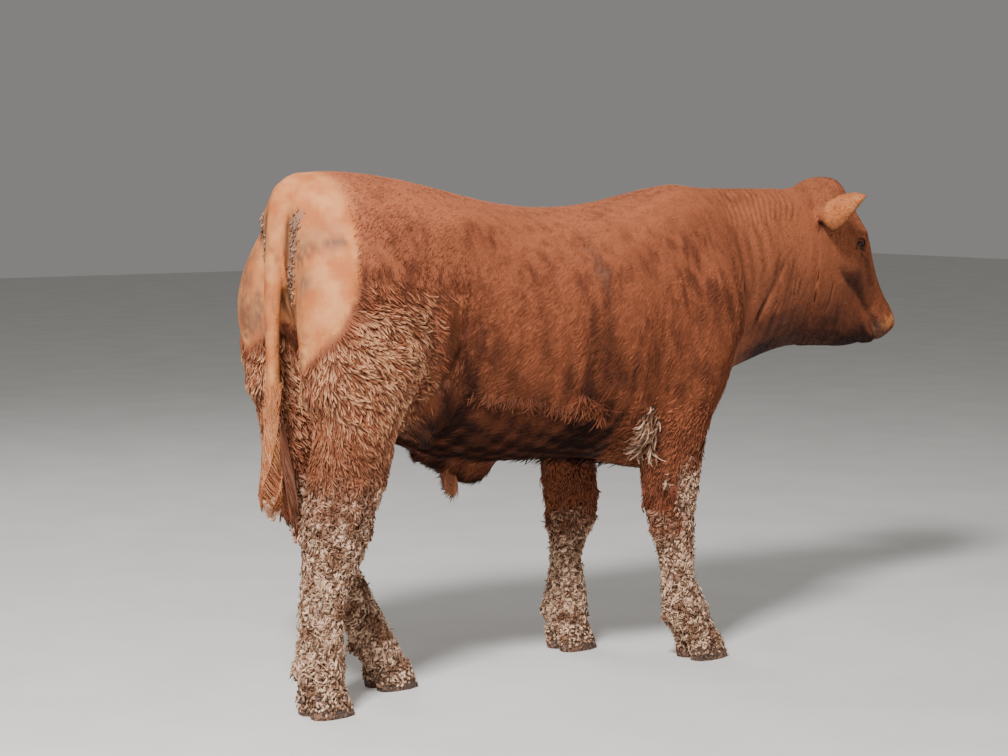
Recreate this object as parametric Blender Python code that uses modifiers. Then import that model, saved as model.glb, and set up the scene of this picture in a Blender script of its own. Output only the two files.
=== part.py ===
"""A young red Charolais bull, standing, as a life-size still model.

+X runs forward to the head, +Y to the animal's left, +Z up; the hooves rest on Z = 0.
The flesh is lofted over named sections, fused into one surface, shaped by swells and
grooves, and then parted by thin cuts into the pieces that a person would name.
"""

import math
import random

import bmesh
import bpy
import numpy as np
from mathutils import Matrix, Vector
from mathutils.bvhtree import BVHTree

# Driving dimensions, in metres
HIP_HEIGHT = 1.297
GAP = 0.0003
SKIN_STEP = 0.0055
HEAD_STEP = 0.0036
BODY_TRIANGLES = 3450
NECK_TRIANGLES = 560
HEAD_TRIANGLES = 3100

# The head: its length and carriage, the top of the poll, and the eyes and ears on it
HEAD_LENGTH = 0.513
HEAD_PITCH = math.radians(54.0)
HEAD_TURN = math.radians(10.0)
POLL = Vector((1.780, 0.048, 1.264))
EYE_RADIUS = 0.0185
EYE_ALONG = 0.172
EYE_ASIDE = 0.087
EYE_DEEP = 0.082
EAR_LENGTH = 0.165
EAR_WALL = 0.007
EAR_STEPS = 5

# The feet: height of the coronet at the middle of a hoof, and its fall to the heel
CORONET = 0.066
CORONET_SLOPE = 0.16
CLAW_SIDES = 11
CLAW_MIDDLE = 0.0285
FETLOCK_HEIGHT = 0.112

# Where each foot stands, its middle fore and aft, then sideways, and how far its fetlock
# lies from there
FEET = {
    "hind_right": (0.010, -0.130, 0.000),
    "hind_left": (0.296, 0.035, -0.034),
    "fore_right": (1.165, -0.138, -0.037),
    "fore_left": (0.947, 0.150, -0.005),
}

COLLECTION = "red_charolais_bull"
SIDES = ((-1, "right"), (1, "left"))

AHEAD = Vector((1.0, 0.0, 0.0))
LEFT = Vector((0.0, 1.0, 0.0))
UP = Vector((0.0, 0.0, 1.0))

# The head's own directions: down the face, to its left, and in from the face
FACE_DOWN = Vector(
    (
        math.cos(HEAD_PITCH) * math.cos(HEAD_TURN),
        math.cos(HEAD_PITCH) * math.sin(HEAD_TURN),
        -math.sin(HEAD_PITCH),
    )
)
HEAD_LEFT = Vector((-math.sin(HEAD_TURN), math.cos(HEAD_TURN), 0.0))
FACE_IN = HEAD_LEFT.cross(FACE_DOWN)

# Where the thin cuts part the body, each a point and the way that its plane faces
NECK_CUT = Vector((1.310, 0.0, 1.050))
NECK_CUT_NORMAL = Vector((0.977, 0.0, 0.212)).normalized()
HEAD_CUT = Vector((1.622, 0.030, 1.000))
HEAD_CUT_NORMAL = Vector((math.cos(HEAD_TURN), math.sin(HEAD_TURN), 0.05)).normalized()
TAIL_CUT = Vector((0.0, 0.0, 0.715))

# Each leg leaves the body inside an outline of Y and Z, between two X
LEG_REGIONS = {
    "fore_right": (
        [(-0.40, 0.720), (-0.045, 0.460), (-0.045, -0.10), (-0.40, -0.10)],
        (0.90, 1.30),
    ),
    "fore_left": (
        [(0.40, 0.720), (0.045, 0.460), (0.045, -0.10), (0.40, -0.10)],
        (0.78, 1.14),
    ),
    "hind_right": (
        [(-0.40, 0.780), (-0.060, 0.600), (-0.052, 0.10), (-0.052, -0.10), (-0.40, -0.10)],
        (-0.20, 0.32),
    ),
    "hind_left": (
        [(0.40, 0.770), (0.030, 0.575), (-0.030, 0.430), (-0.030, -0.10), (0.40, -0.10)],
        (-0.20, 0.42),
    ),
}

# Locks of hair: how many, the line they start from beside the body, the way from there to
# the skin, the way they lie, length, width, how far the tips stand off, how freely they hang
LOCK_THICKNESS = 0.010
LOCK_ROOT = 0.016
DOWN = (0.0, 0.0, -1.0)
HAIR = {
    "torso": [
        (9, (0.41, -0.6, 0.765), (0.81, -0.6, 0.690), (0, 1, 0), (0.1, 0, -1), 0.110, 0.060, 0.020, 0.3),
        (9, (0.41, 0.6, 0.765), (0.81, 0.6, 0.690), (0, -1, 0), (0.1, 0, -1), 0.110, 0.060, 0.020, 0.3),
        (4, (0.66, 0.0, 0.2), (0.82, 0.0, 0.2), (0, 0, 1), (-0.8, 0, -1), 0.065, 0.050, 0.0, 0.6),
        (3, (1.12, 0.0, 0.2), (1.24, 0.0, 0.2), (0, 0, 1), (-0.8, 0, -1), 0.065, 0.050, 0.0, 0.6),
        (4, (0.87, -0.6, 0.740), (0.93, -0.6, 0.700), (0, 1, 0), DOWN, 0.065, 0.040, 0.018, 0.2),
        (3, (0.87, 0.6, 0.740), (0.91, 0.6, 0.700), (0, -1, 0), DOWN, 0.065, 0.040, 0.018, 0.2),
        (3, (-0.5, -0.155, 0.93), (-0.5, -0.150, 0.84), (1, 0, 0), DOWN, 0.085, 0.050, 0.012, 0.2),
        (4, (-0.5, 0.150, 0.93), (-0.5, 0.130, 0.80), (1, 0, 0), DOWN, 0.085, 0.050, 0.012, 0.2),
    ],
    "hind_right": [
        (4, (-0.5, -0.145, 0.595), (-0.5, -0.130, 0.44), (1, 0, 0), DOWN, 0.080, 0.050, 0.010, 0.2),
        (4, (0.5, -0.140, 0.595), (0.5, -0.130, 0.42), (-1, 0, 0), DOWN, 0.080, 0.050, 0.010, 0.2),
        (3, (0.08, -0.6, 0.61), (0.06, -0.6, 0.46), (0, 1, 0), DOWN, 0.080, 0.050, 0.010, 0.1),
    ],
    "hind_left": [
        (3, (-0.5, 0.110, 0.565), (-0.5, 0.070, 0.46), (1, 0, 0), DOWN, 0.075, 0.046, 0.010, 0.2),
        (3, (0.7, 0.105, 0.565), (0.7, 0.060, 0.42), (-1, 0, 0), DOWN, 0.080, 0.046, 0.010, 0.2),
        (2, (0.11, 0.6, 0.57), (0.12, 0.6, 0.46), (0, -1, 0), DOWN, 0.080, 0.050, 0.010, 0.1),
    ],
    "fore_right": [
        (6, (0.5, -0.155, 0.495), (0.5, -0.140, 0.33), (1, 0, 0), DOWN, 0.075, 0.052, 0.010, 0.2),
        (4, (0.98, -0.6, 0.55), (1.05, -0.6, 0.47), (0, 1, 0), DOWN, 0.070, 0.040, 0.010, 0.2),
    ],
    "fore_left": [
        (5, (0.4, 0.155, 0.495), (0.4, 0.150, 0.34), (1, 0, 0), DOWN, 0.075, 0.050, 0.010, 0.2),
        (3, (1.4, 0.155, 0.490), (1.4, 0.150, 0.39), (-1, 0, 0), DOWN, 0.075, 0.050, 0.010, 0.2),
        (2, (0.92, 0.6, 0.53), (0.95, 0.6, 0.46), (0, -1, 0), DOWN, 0.070, 0.044, 0.010, 0.2),
    ],
}


def clear_scene():
    for item in list(bpy.data.objects):
        bpy.data.objects.remove(item, do_unlink=True)
    for group in list(bpy.data.collections):
        bpy.data.collections.remove(group)


def make_collection(name):
    group = bpy.data.collections.new(name)
    bpy.context.scene.collection.children.link(group)
    return group


def make_material(name, colour, roughness):
    """A plain Principled material in one colour."""
    material = bpy.data.materials.new(name)
    material.use_nodes = True
    shader = material.node_tree.nodes["Principled BSDF"]
    shader.inputs["Base Color"].default_value = (*colour, 1.0)
    shader.inputs["Roughness"].default_value = roughness
    shader.inputs["Metallic"].default_value = 0.0
    return material


def mesh_object(name, mesh, group):
    item = bpy.data.objects.new(name, mesh)
    group.objects.link(item)
    return item


def smooth_rows(rows, between):
    """Catmull-Rom rows between the given ones, end rows kept."""
    table = np.array(rows, float)
    padded = np.vstack([2 * table[0] - table[1], table, 2 * table[-1] - table[-2]])
    out = []
    for i in range(1, len(table)):
        p0, p1, p2, p3 = padded[i - 1 : i + 3]
        for k in range(between):
            t = k / between
            out.append(
                0.5
                * (
                    2 * p1
                    + (p2 - p0) * t
                    + (2 * p0 - 5 * p1 + 4 * p2 - p3) * t**2
                    + (3 * p1 - p0 - 3 * p2 + p3) * t**3
                )
            )
    out.append(table[-1])
    return np.array(out)


def power_wave(value, power):
    return math.copysign(abs(value) ** (2.0 / power), value)


def loft(rows, side, up, sides=28, between=4, powers=(2.2, 2.2)):
    """A closed body through rows of x, y, z, half width, reach up and reach down.

    The rings lie in the plane of side and up, and powers squares off their upper
    and lower halves.
    """
    shape = bmesh.new()
    side = Vector(side).normalized()
    up = Vector(up).normalized()
    rings = []
    for x, y, z, width, rise, drop in smooth_rows(rows, between):
        centre = Vector((x, y, z))
        ring = []
        for k in range(sides):
            angle = 2 * math.pi * k / sides
            power = powers[0] if math.sin(angle) > 0 else powers[1]
            reach = rise if math.sin(angle) > 0 else drop
            across = side * (width * power_wave(math.cos(angle), power))
            along = up * (reach * power_wave(math.sin(angle), power))
            ring.append(shape.verts.new(centre + across + along))
        rings.append(ring)
    for first, second in zip(rings, rings[1:]):
        for k in range(sides):
            j = (k + 1) % sides
            shape.faces.new((first[k], first[j], second[j], second[k]))
    for ring in (rings[0], rings[-1]):
        middle = shape.verts.new(sum((v.co for v in ring), Vector()) / sides)
        for k in range(sides):
            shape.faces.new((ring[k], ring[(k + 1) % sides], middle))
    bmesh.ops.recalc_face_normals(shape, faces=shape.faces)
    mesh = bpy.data.meshes.new("loft")
    shape.to_mesh(mesh)
    shape.free()
    return mesh


def ball(centre, radii, turn=None, segments=28, rings=16):
    """An ellipsoid mesh, with turn a rotation matrix."""
    shape = bmesh.new()
    bmesh.ops.create_uvsphere(shape, u_segments=segments, v_segments=rings, radius=1.0)
    place = Matrix.Translation(centre) @ (turn or Matrix()) @ Matrix.Diagonal((*radii, 1.0))
    bmesh.ops.transform(shape, matrix=place, verts=shape.verts)
    mesh = bpy.data.meshes.new("ball")
    shape.to_mesh(mesh)
    shape.free()
    return mesh


def joined(meshes):
    """One mesh that holds all the given ones, which are then removed."""
    shape = bmesh.new()
    for mesh in meshes:
        shape.from_mesh(mesh)
        bpy.data.meshes.remove(mesh)
    out = bpy.data.meshes.new("joined")
    shape.to_mesh(out)
    shape.free()
    return out


def evaluated(item):
    """The object's mesh with its modifiers applied, and the object removed."""
    graph = bpy.context.evaluated_depsgraph_get()
    mesh = bpy.data.meshes.new_from_object(item.evaluated_get(graph))
    bpy.data.objects.remove(item, do_unlink=True)
    return mesh


def with_modifier(mesh, group, kind, **settings):
    """The mesh after one modifier of the given kind."""
    item = mesh_object("work", mesh, group)
    modifier = item.modifiers.new(kind, kind)
    for key, value in settings.items():
        setattr(modifier, key, value)
    return evaluated(item)


def fused_skin(mesh, group, step):
    """One closed surface round all the lofts."""
    return with_modifier(mesh, group, "REMESH", mode="VOXEL", voxel_size=step)


def reduced(mesh, group, triangles):
    """The mesh with about the given number of triangles."""
    mesh = with_modifier(mesh, group, "TRIANGULATE")
    ratio = min(1.0, triangles / len(mesh.polygons))
    return with_modifier(mesh, group, "DECIMATE", ratio=ratio, use_collapse_triangulate=True)


def largest_surface(mesh):
    """Keeps the largest closed surface of a mesh, by the volume that it holds."""
    shape = bmesh.new()
    shape.from_mesh(mesh)
    bmesh.ops.triangulate(shape, faces=shape.faces)
    left = set(shape.faces)
    shells = []
    while left:
        seed = left.pop()
        shell = {seed}
        front = [seed]
        while front:
            face = front.pop()
            for edge in face.edges:
                for other in edge.link_faces:
                    if other in left:
                        left.remove(other)
                        shell.add(other)
                        front.append(other)
        volume = sum(f.verts[0].co.dot(f.verts[1].co.cross(f.verts[2].co)) for f in shell) / 6.0
        shells.append((abs(volume), shell))
    keep = max(shells, key=lambda pair: pair[0])[1]
    bmesh.ops.delete(shape, geom=[f for f in shape.faces if f not in keep], context="FACES")
    bmesh.ops.recalc_face_normals(shape, faces=shape.faces)
    shape.to_mesh(mesh)
    shape.free()
    return mesh


def halved(mesh, point, normal):
    """Keeps the side of a plane that its normal points away from, and closes the cut."""
    shape = bmesh.new()
    shape.from_mesh(mesh)
    cut = bmesh.ops.bisect_plane(
        shape,
        geom=[*shape.verts, *shape.edges, *shape.faces],
        plane_co=point,
        plane_no=normal,
        clear_outer=True,
    )
    edges = [e for e in cut["geom_cut"] if isinstance(e, bmesh.types.BMEdge)]
    bmesh.ops.holes_fill(shape, edges=edges, sides=0)
    bmesh.ops.triangulate(shape, faces=shape.faces)
    bmesh.ops.recalc_face_normals(shape, faces=shape.faces)
    out = bpy.data.meshes.new("half")
    shape.to_mesh(out)
    shape.free()
    return out


def boolean(mesh, tool_meshes, operation, group, solver="EXACT"):
    """The mesh with all tool meshes joined to it, cut from it or shared with it."""
    tools = bpy.data.collections.new("boolean_tools")
    bpy.context.scene.collection.children.link(tools)
    for tool in tool_meshes:
        cutter = mesh_object("cutter", tool, tools)
        cutter.hide_render = True
        cutter.display_type = "WIRE"
    item = mesh_object("work", mesh, group)
    modifier = item.modifiers.new("Boolean", "BOOLEAN")
    modifier.operation = operation
    modifier.solver = solver
    modifier.operand_type = "COLLECTION"
    modifier.collection = tools
    out = evaluated(item)
    for cutter in list(tools.objects):
        bpy.data.objects.remove(cutter, do_unlink=True)
    bpy.data.collections.remove(tools)
    return largest_surface(out)


def head_point(along, left, deep):
    """A point by its way down the face from the poll, to the left, and in from the face."""
    return POLL + FACE_DOWN * along + HEAD_LEFT * left + FACE_IN * deep


def trunk_mesh():
    """Rump, loin, barrel, withers and chest: x, top, bottom, half width, height of it."""
    rows = [
        (-0.025, 1.205, 1.060, 0.050, 1.130),
        (-0.005, 1.270, 0.960, 0.105, 1.120),
        (0.050, 1.294, 0.850, 0.170, 1.090),
        (0.140, HIP_HEIGHT, 0.740, 0.212, 1.060),
        (0.260, 1.285, 0.640, 0.232, 1.050),
        (0.390, 1.260, 0.582, 0.242, 1.010),
        (0.520, 1.230, 0.558, 0.254, 0.950),
        (0.660, 1.208, 0.550, 0.270, 0.900),
        (0.800, 1.204, 0.545, 0.280, 0.880),
        (0.930, 1.216, 0.525, 0.268, 0.880),
        (1.050, 1.240, 0.500, 0.240, 0.900),
        (1.160, 1.260, 0.495, 0.205, 0.910),
        (1.250, 1.252, 0.595, 0.178, 0.930),
        (1.320, 1.225, 0.720, 0.146, 0.960),
        (1.370, 1.180, 0.850, 0.098, 0.990),
        (1.400, 1.120, 0.900, 0.050, 1.000),
    ]
    table = [(x, 0.0, wide, half, top - wide, wide - low) for x, top, low, half, wide in rows]
    return loft(table, LEFT, UP, sides=40, powers=(2.1, 2.25))


def neck_mesh():
    """The neck with the loose skin of the throat: x, y, top, bottom, half width, its height."""
    rows = [
        (1.080, 0.000, 1.235, 0.660, 0.180, 0.960),
        (1.220, 0.000, 1.252, 0.690, 0.165, 0.980),
        (1.360, 0.005, 1.248, 0.735, 0.135, 1.010),
        (1.480, 0.012, 1.244, 0.772, 0.115, 1.040),
        (1.590, 0.022, 1.242, 0.795, 0.104, 1.060),
        (1.690, 0.034, 1.248, 0.795, 0.098, 1.070),
        (1.780, 0.048, 1.220, 0.790, 0.085, 1.050),
        (1.860, 0.060, 1.080, 0.785, 0.060, 0.960),
        (1.930, 0.072, 0.950, 0.790, 0.035, 0.870),
    ]
    table = [(x, y, wide, half, top - wide, wide - low) for x, y, top, low, half, wide in rows]
    return loft(table, LEFT, UP, sides=32, powers=(1.9, 1.8))


def head_meshes():
    """Skull with the upper lip, then the lower jaw with the chin.

    Rows: share of the way down the face, depth of the middle, half width, rise, drop.
    """
    skull = [
        (-0.070, 0.110, 0.045, 0.050, 0.070),
        (-0.035, 0.105, 0.072, 0.088, 0.090),
        (0.010, 0.105, 0.090, 0.102, 0.105),
        (0.160, 0.110, 0.100, 0.110, 0.115),
        (0.290, 0.112, 0.108, 0.114, 0.116),
        (0.400, 0.108, 0.104, 0.108, 0.104),
        (0.530, 0.096, 0.083, 0.094, 0.082),
        (0.650, 0.082, 0.067, 0.079, 0.062),
        (0.770, 0.071, 0.060, 0.067, 0.048),
        (0.870, 0.065, 0.065, 0.061, 0.044),
        (0.945, 0.063, 0.063, 0.055, 0.040),
        (0.990, 0.066, 0.046, 0.037, 0.027),
    ]
    jaw = [
        (0.160, 0.160, 0.060, 0.050, 0.050),
        (0.280, 0.170, 0.080, 0.070, 0.062),
        (0.420, 0.168, 0.077, 0.070, 0.058),
        (0.560, 0.152, 0.062, 0.060, 0.047),
        (0.700, 0.133, 0.049, 0.045, 0.038),
        (0.820, 0.122, 0.044, 0.034, 0.034),
        (0.910, 0.116, 0.041, 0.026, 0.031),
        (0.960, 0.113, 0.030, 0.016, 0.020),
    ]
    meshes = []
    for table, powers in ((skull, (2.9, 2.3)), (jaw, (2.2, 2.4))):
        rows = []
        for share, deep, half, rise, drop in table:
            rows.append((*head_point(share * HEAD_LENGTH, 0.0, deep), half, rise, drop))
        meshes.append(loft(rows, HEAD_LEFT, -FACE_IN, sides=32, powers=powers))
    return meshes


def leg_mesh(rows):
    """A leg by level rings: z, x, y, half width, reach ahead, reach behind."""
    table = [(x, y, z, half, ahead, behind) for z, x, y, half, ahead, behind in rows]
    return loft(table, LEFT, AHEAD, sides=24, powers=(2.1, 2.1))


def hind_leg_right():
    """Thigh, gaskin, hock, cannon, fetlock and pastern: z, x, y, half width, ahead, behind."""
    return leg_mesh(
        [
            (1.170, 0.120, -0.090, 0.080, 0.110, 0.110),
            (1.080, 0.125, -0.120, 0.108, 0.155, 0.150),
            (0.980, 0.125, -0.142, 0.116, 0.200, 0.172),
            (0.880, 0.118, -0.150, 0.112, 0.195, 0.165),
            (0.770, 0.112, -0.150, 0.098, 0.142, 0.140),
            (0.690, 0.112, -0.148, 0.084, 0.112, 0.118),
            (0.610, 0.094, -0.142, 0.072, 0.108, 0.112),
            (0.540, 0.080, -0.136, 0.065, 0.106, 0.106),
            (0.475, 0.062, -0.132, 0.060, 0.094, 0.094),
            (0.415, 0.052, -0.130, 0.057, 0.092, 0.082),
            (0.350, 0.040, -0.130, 0.054, 0.072, 0.070),
            (0.280, 0.020, -0.130, 0.050, 0.058, 0.056),
            (0.195, 0.014, -0.130, 0.051, 0.054, 0.056),
            (0.120, 0.010, -0.130, 0.056, 0.058, 0.062),
            (0.060, 0.016, -0.130, 0.055, 0.056, 0.054),
            (0.020, 0.020, -0.130, 0.050, 0.050, 0.050),
        ]
    )


def hind_leg_left():
    """The left hind leg stands further forward, its cannon sloping."""
    return leg_mesh(
        [
            (1.170, 0.120, 0.090, 0.080, 0.110, 0.110),
            (1.080, 0.125, 0.122, 0.110, 0.155, 0.155),
            (0.980, 0.130, 0.145, 0.118, 0.195, 0.175),
            (0.880, 0.130, 0.150, 0.113, 0.195, 0.165),
            (0.770, 0.125, 0.142, 0.096, 0.145, 0.140),
            (0.690, 0.118, 0.128, 0.082, 0.120, 0.120),
            (0.610, 0.106, 0.106, 0.070, 0.104, 0.110),
            (0.540, 0.100, 0.078, 0.063, 0.088, 0.096),
            (0.475, 0.094, 0.064, 0.058, 0.076, 0.080),
            (0.415, 0.114, 0.054, 0.054, 0.066, 0.066),
            (0.350, 0.146, 0.047, 0.050, 0.058, 0.058),
            (0.280, 0.182, 0.041, 0.047, 0.052, 0.052),
            (0.195, 0.224, 0.037, 0.051, 0.054, 0.054),
            (0.120, 0.264, 0.035, 0.055, 0.056, 0.060),
            (0.060, 0.295, 0.035, 0.055, 0.056, 0.054),
            (0.020, 0.311, 0.035, 0.050, 0.050, 0.050),
        ]
    )


def fore_leg_right():
    """Shoulder, forearm, knee, cannon, fetlock and pastern."""
    return leg_mesh(
        [
            (1.150, 1.130, -0.085, 0.050, 0.070, 0.080),
            (1.040, 1.150, -0.130, 0.080, 0.120, 0.120),
            (0.920, 1.150, -0.152, 0.088, 0.140, 0.145),
            (0.800, 1.110, -0.158, 0.084, 0.138, 0.140),
            (0.710, 1.085, -0.158, 0.078, 0.122, 0.130),
            (0.640, 1.070, -0.155, 0.070, 0.112, 0.118),
            (0.590, 1.062, -0.152, 0.065, 0.106, 0.110),
            (0.513, 1.062, -0.147, 0.060, 0.094, 0.095),
            (0.436, 1.064, -0.143, 0.057, 0.080, 0.080),
            (0.385, 1.069, -0.140, 0.054, 0.068, 0.067),
            (0.334, 1.081, -0.138, 0.050, 0.056, 0.057),
            (0.283, 1.091, -0.138, 0.045, 0.047, 0.048),
            (0.232, 1.096, -0.138, 0.043, 0.042, 0.043),
            (0.181, 1.110, -0.138, 0.050, 0.054, 0.054),
            (0.127, 1.128, -0.138, 0.056, 0.060, 0.064),
            (0.060, 1.158, -0.138, 0.055, 0.058, 0.054),
            (0.020, 1.172, -0.138, 0.050, 0.050, 0.050),
        ]
    )


def fore_leg_left():
    return leg_mesh(
        [
            (1.150, 1.120, 0.085, 0.050, 0.070, 0.080),
            (1.040, 1.130, 0.130, 0.080, 0.120, 0.120),
            (0.920, 1.110, 0.152, 0.088, 0.145, 0.145),
            (0.800, 1.050, 0.158, 0.084, 0.140, 0.138),
            (0.710, 1.000, 0.158, 0.076, 0.120, 0.122),
            (0.640, 0.970, 0.156, 0.068, 0.106, 0.108),
            (0.580, 0.955, 0.154, 0.062, 0.096, 0.098),
            (0.510, 0.952, 0.152, 0.057, 0.087, 0.088),
            (0.420, 0.958, 0.150, 0.056, 0.084, 0.080),
            (0.345, 0.958, 0.150, 0.051, 0.076, 0.068),
            (0.275, 0.943, 0.150, 0.043, 0.045, 0.044),
            (0.213, 0.943, 0.150, 0.044, 0.047, 0.047),
            (0.160, 0.942, 0.150, 0.051, 0.056, 0.056),
            (0.110, 0.942, 0.150, 0.055, 0.060, 0.062),
            (0.060, 0.950, 0.150, 0.055, 0.056, 0.054),
            (0.020, 0.955, 0.150, 0.050, 0.050, 0.050),
        ]
    )


def scrotum_mesh():
    rows = [
        (0.225, -0.012, 0.740, 0.046, 0.052, 0.052),
        (0.222, -0.012, 0.670, 0.036, 0.036, 0.036),
        (0.220, -0.012, 0.620, 0.042, 0.042, 0.040),
        (0.219, -0.012, 0.585, 0.036, 0.036, 0.034),
        (0.219, -0.012, 0.565, 0.018, 0.018, 0.018),
    ]
    return loft(rows, LEFT, AHEAD, sides=20)


def dewclaw_meshes():
    """Two small horny claws behind each fetlock."""
    meshes = []
    for x, y, back in FEET.values():
        for side in (-1, 1):
            centre = (x + back - 0.052, y + side * 0.025, FETLOCK_HEIGHT)
            meshes.append(ball(centre, (0.019, 0.015, 0.019)))
    return meshes


def mesh_arrays(mesh):
    count = len(mesh.vertices)
    points = np.empty(count * 3, np.float32)
    normals = np.empty(count * 3, np.float32)
    mesh.vertices.foreach_get("co", points)
    mesh.vertices.foreach_get("normal", normals)
    return points.reshape(-1, 3).astype(float), normals.reshape(-1, 3).astype(float)


def put_points(mesh, points):
    mesh.vertices.foreach_set("co", points.astype(np.float32).ravel())
    mesh.update()


def bump(points, centre, radii, axes=(AHEAD, LEFT, UP)):
    """A weight that is 1 at the centre and fades over the radii along the axes."""
    away = (points - np.array(centre)) @ np.array(axes).T
    return np.exp(-np.sum((away / np.array(radii)) ** 2, axis=1))


def path_weight(points, path, width):
    """A weight that is 1 on a path of straight stretches and fades over the width."""
    best = np.full(len(points), 1e9)
    for start, end in zip(path, path[1:]):
        start, end = np.array(start), np.array(end)
        along = end - start
        t = np.clip((points - start) @ along / (along @ along), 0.0, 1.0)
        best = np.minimum(best, np.linalg.norm(points - start - t[:, None] * along, axis=1))
    return np.exp(-((best / width) ** 2))


def relaxed(mesh, group, repeats):
    return with_modifier(mesh, group, "SMOOTH", factor=0.5, iterations=repeats)


def shape_trunk(mesh):
    """Hips, pin bones, shoulder points, flank folds and the hollow behind the shoulder."""
    points, normals = mesh_arrays(mesh)
    push = np.zeros(len(points))
    for side in (-1, 1):
        push += 0.016 * bump(points, (0.360, side * 0.210, 1.160), (0.09, 0.07, 0.06))
        push += 0.010 * bump(points, (-0.030, side * 0.090, 1.160), (0.04, 0.04, 0.05))
        push += 0.014 * bump(points, (1.270, side * 0.160, 0.880), (0.07, 0.06, 0.08))
        push += 0.010 * bump(points, (0.170, side * 0.230, 0.820), (0.07, 0.06, 0.08))
        flank = [
            (0.400, side * 0.262, 0.930),
            (0.375, side * 0.265, 0.850),
            (0.310, side * 0.245, 0.770),
            (0.245, side * 0.200, 0.680),
        ]
        push -= 0.018 * path_weight(points, flank, 0.050)
        elbow = [
            (0.960, side * 0.240, 1.100),
            (0.965, side * 0.260, 0.920),
            (0.950, side * 0.230, 0.700),
        ]
        push -= 0.012 * path_weight(points, elbow, 0.045)
        cleft = [(0.010, 0.0, 1.180), (-0.010, 0.0, 0.900), (0.020, 0.0, 0.760)]
        push -= 0.006 * path_weight(points, cleft, 0.030)
    put_points(mesh, points + normals * push[:, None])


def shape_head(mesh):
    """Brows, eye openings with lids, cheeks, nostrils, lips and the line of the mouth."""
    points, normals = mesh_arrays(mesh)
    push = np.zeros(len(points))
    axes = (FACE_DOWN, HEAD_LEFT, FACE_IN)
    for side in (-1, 1):
        eye = eye_centre(side)
        out = HEAD_LEFT * side
        rim = np.linalg.norm(
            ((points - np.array(eye)) @ np.array(axes).T) / np.array((1.25, 1.0, 1.0)), axis=1
        )
        push += 0.0055 * np.exp(-(((rim - 0.0235) / 0.0050) ** 2))
        brow = eye - FACE_DOWN * 0.020 - FACE_IN * 0.034 + out * 0.010
        push += 0.009 * bump(points, brow, (0.034, 0.03, 0.016), axes)
        push -= 0.007 * bump(points, eye + FACE_DOWN * 0.050 + out * 0.01, (0.030, 0.03, 0.022), axes)
        jaw_muscle = head_point(0.44 * HEAD_LENGTH, side * 0.095, 0.150)
        push += 0.006 * bump(points, jaw_muscle, (0.05, 0.04, 0.045), axes)
        cheek = [
            head_point(0.50 * HEAD_LENGTH, side * 0.078, 0.080),
            head_point(0.74 * HEAD_LENGTH, side * 0.058, 0.090),
        ]
        push -= 0.006 * path_weight(points, cheek, 0.022)
        mouth = [
            head_point(0.770 * HEAD_LENGTH, side * 0.066, 0.118),
            head_point(0.860 * HEAD_LENGTH, side * 0.066, 0.113),
            head_point(0.950 * HEAD_LENGTH, side * 0.050, 0.107),
            head_point(0.995 * HEAD_LENGTH, 0.0, 0.103),
        ]
        push -= 0.010 * path_weight(points, mouth, 0.0065)
        upper_lip = [point - FACE_IN * 0.016 for point in mouth[1:]]
        push += 0.0035 * path_weight(points, upper_lip, 0.010)
        lower_lip = [point + FACE_IN * 0.016 for point in mouth[1:]]
        push += 0.0045 * path_weight(points, lower_lip, 0.010)
        nostril = head_point(0.985 * HEAD_LENGTH, side * 0.034, 0.047)
        push -= 0.017 * bump(points, nostril, (0.014, 0.009, 0.0125), axes)
        wing = head_point(0.965 * HEAD_LENGTH, side * 0.050, 0.040)
        push += 0.004 * bump(points, wing, (0.016, 0.012, 0.016), axes)
    push += 0.004 * bump(points, head_point(-0.02, 0.0, 0.03), (0.05, 0.05, 0.05), axes)
    moved = points + normals * push[:, None]
    for side in (-1, 1):
        eye = eye_centre(side)
        dent = bump(points, eye + HEAD_LEFT * side * EYE_RADIUS, (0.0145, 0.03, 0.0115), axes)
        moved -= np.array(HEAD_LEFT)[None, :] * (side * 0.010 * dent)[:, None]
    put_points(mesh, moved)


def eye_centre(side):
    return head_point(EYE_ALONG, side * EYE_ASIDE, EYE_DEEP)


def build_flesh(group):
    """Trunk, neck and legs as one fine closed surface, with the head in rough form."""
    parts = [trunk_mesh(), neck_mesh(), *head_meshes(), scrotum_mesh(), *dewclaw_meshes()]
    parts += [hind_leg_right(), hind_leg_left(), fore_leg_right(), fore_leg_left()]
    skin = fused_skin(joined(parts), group, SKIN_STEP)
    fine = relaxed(skin.copy(), group, 8)
    soft = relaxed(skin, group, 45)
    points, normals = mesh_arrays(fine)
    blurred, normals = mesh_arrays(soft)
    height = np.clip((points[:, 2] - 0.60) / 0.14, 0.0, 1.0)
    rear = np.clip((1.62 - points[:, 0]) / 0.12, 0.0, 1.0)
    share = (height * rear)[:, None]
    put_points(fine, points * (1.0 - share) + blurred * share)
    shape_trunk(fine)
    return relaxed(fine, group, 3)


def build_head_flesh(group):
    """The head with the front of the neck, finer than the rest."""
    skin = fused_skin(joined([neck_mesh(), *head_meshes()]), group, HEAD_STEP)
    skin = halved(skin, HEAD_CUT - HEAD_CUT_NORMAL * 0.06, -HEAD_CUT_NORMAL)
    skin = relaxed(skin, group, 16)
    shape_head(skin)
    return relaxed(skin, group, 2)


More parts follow.
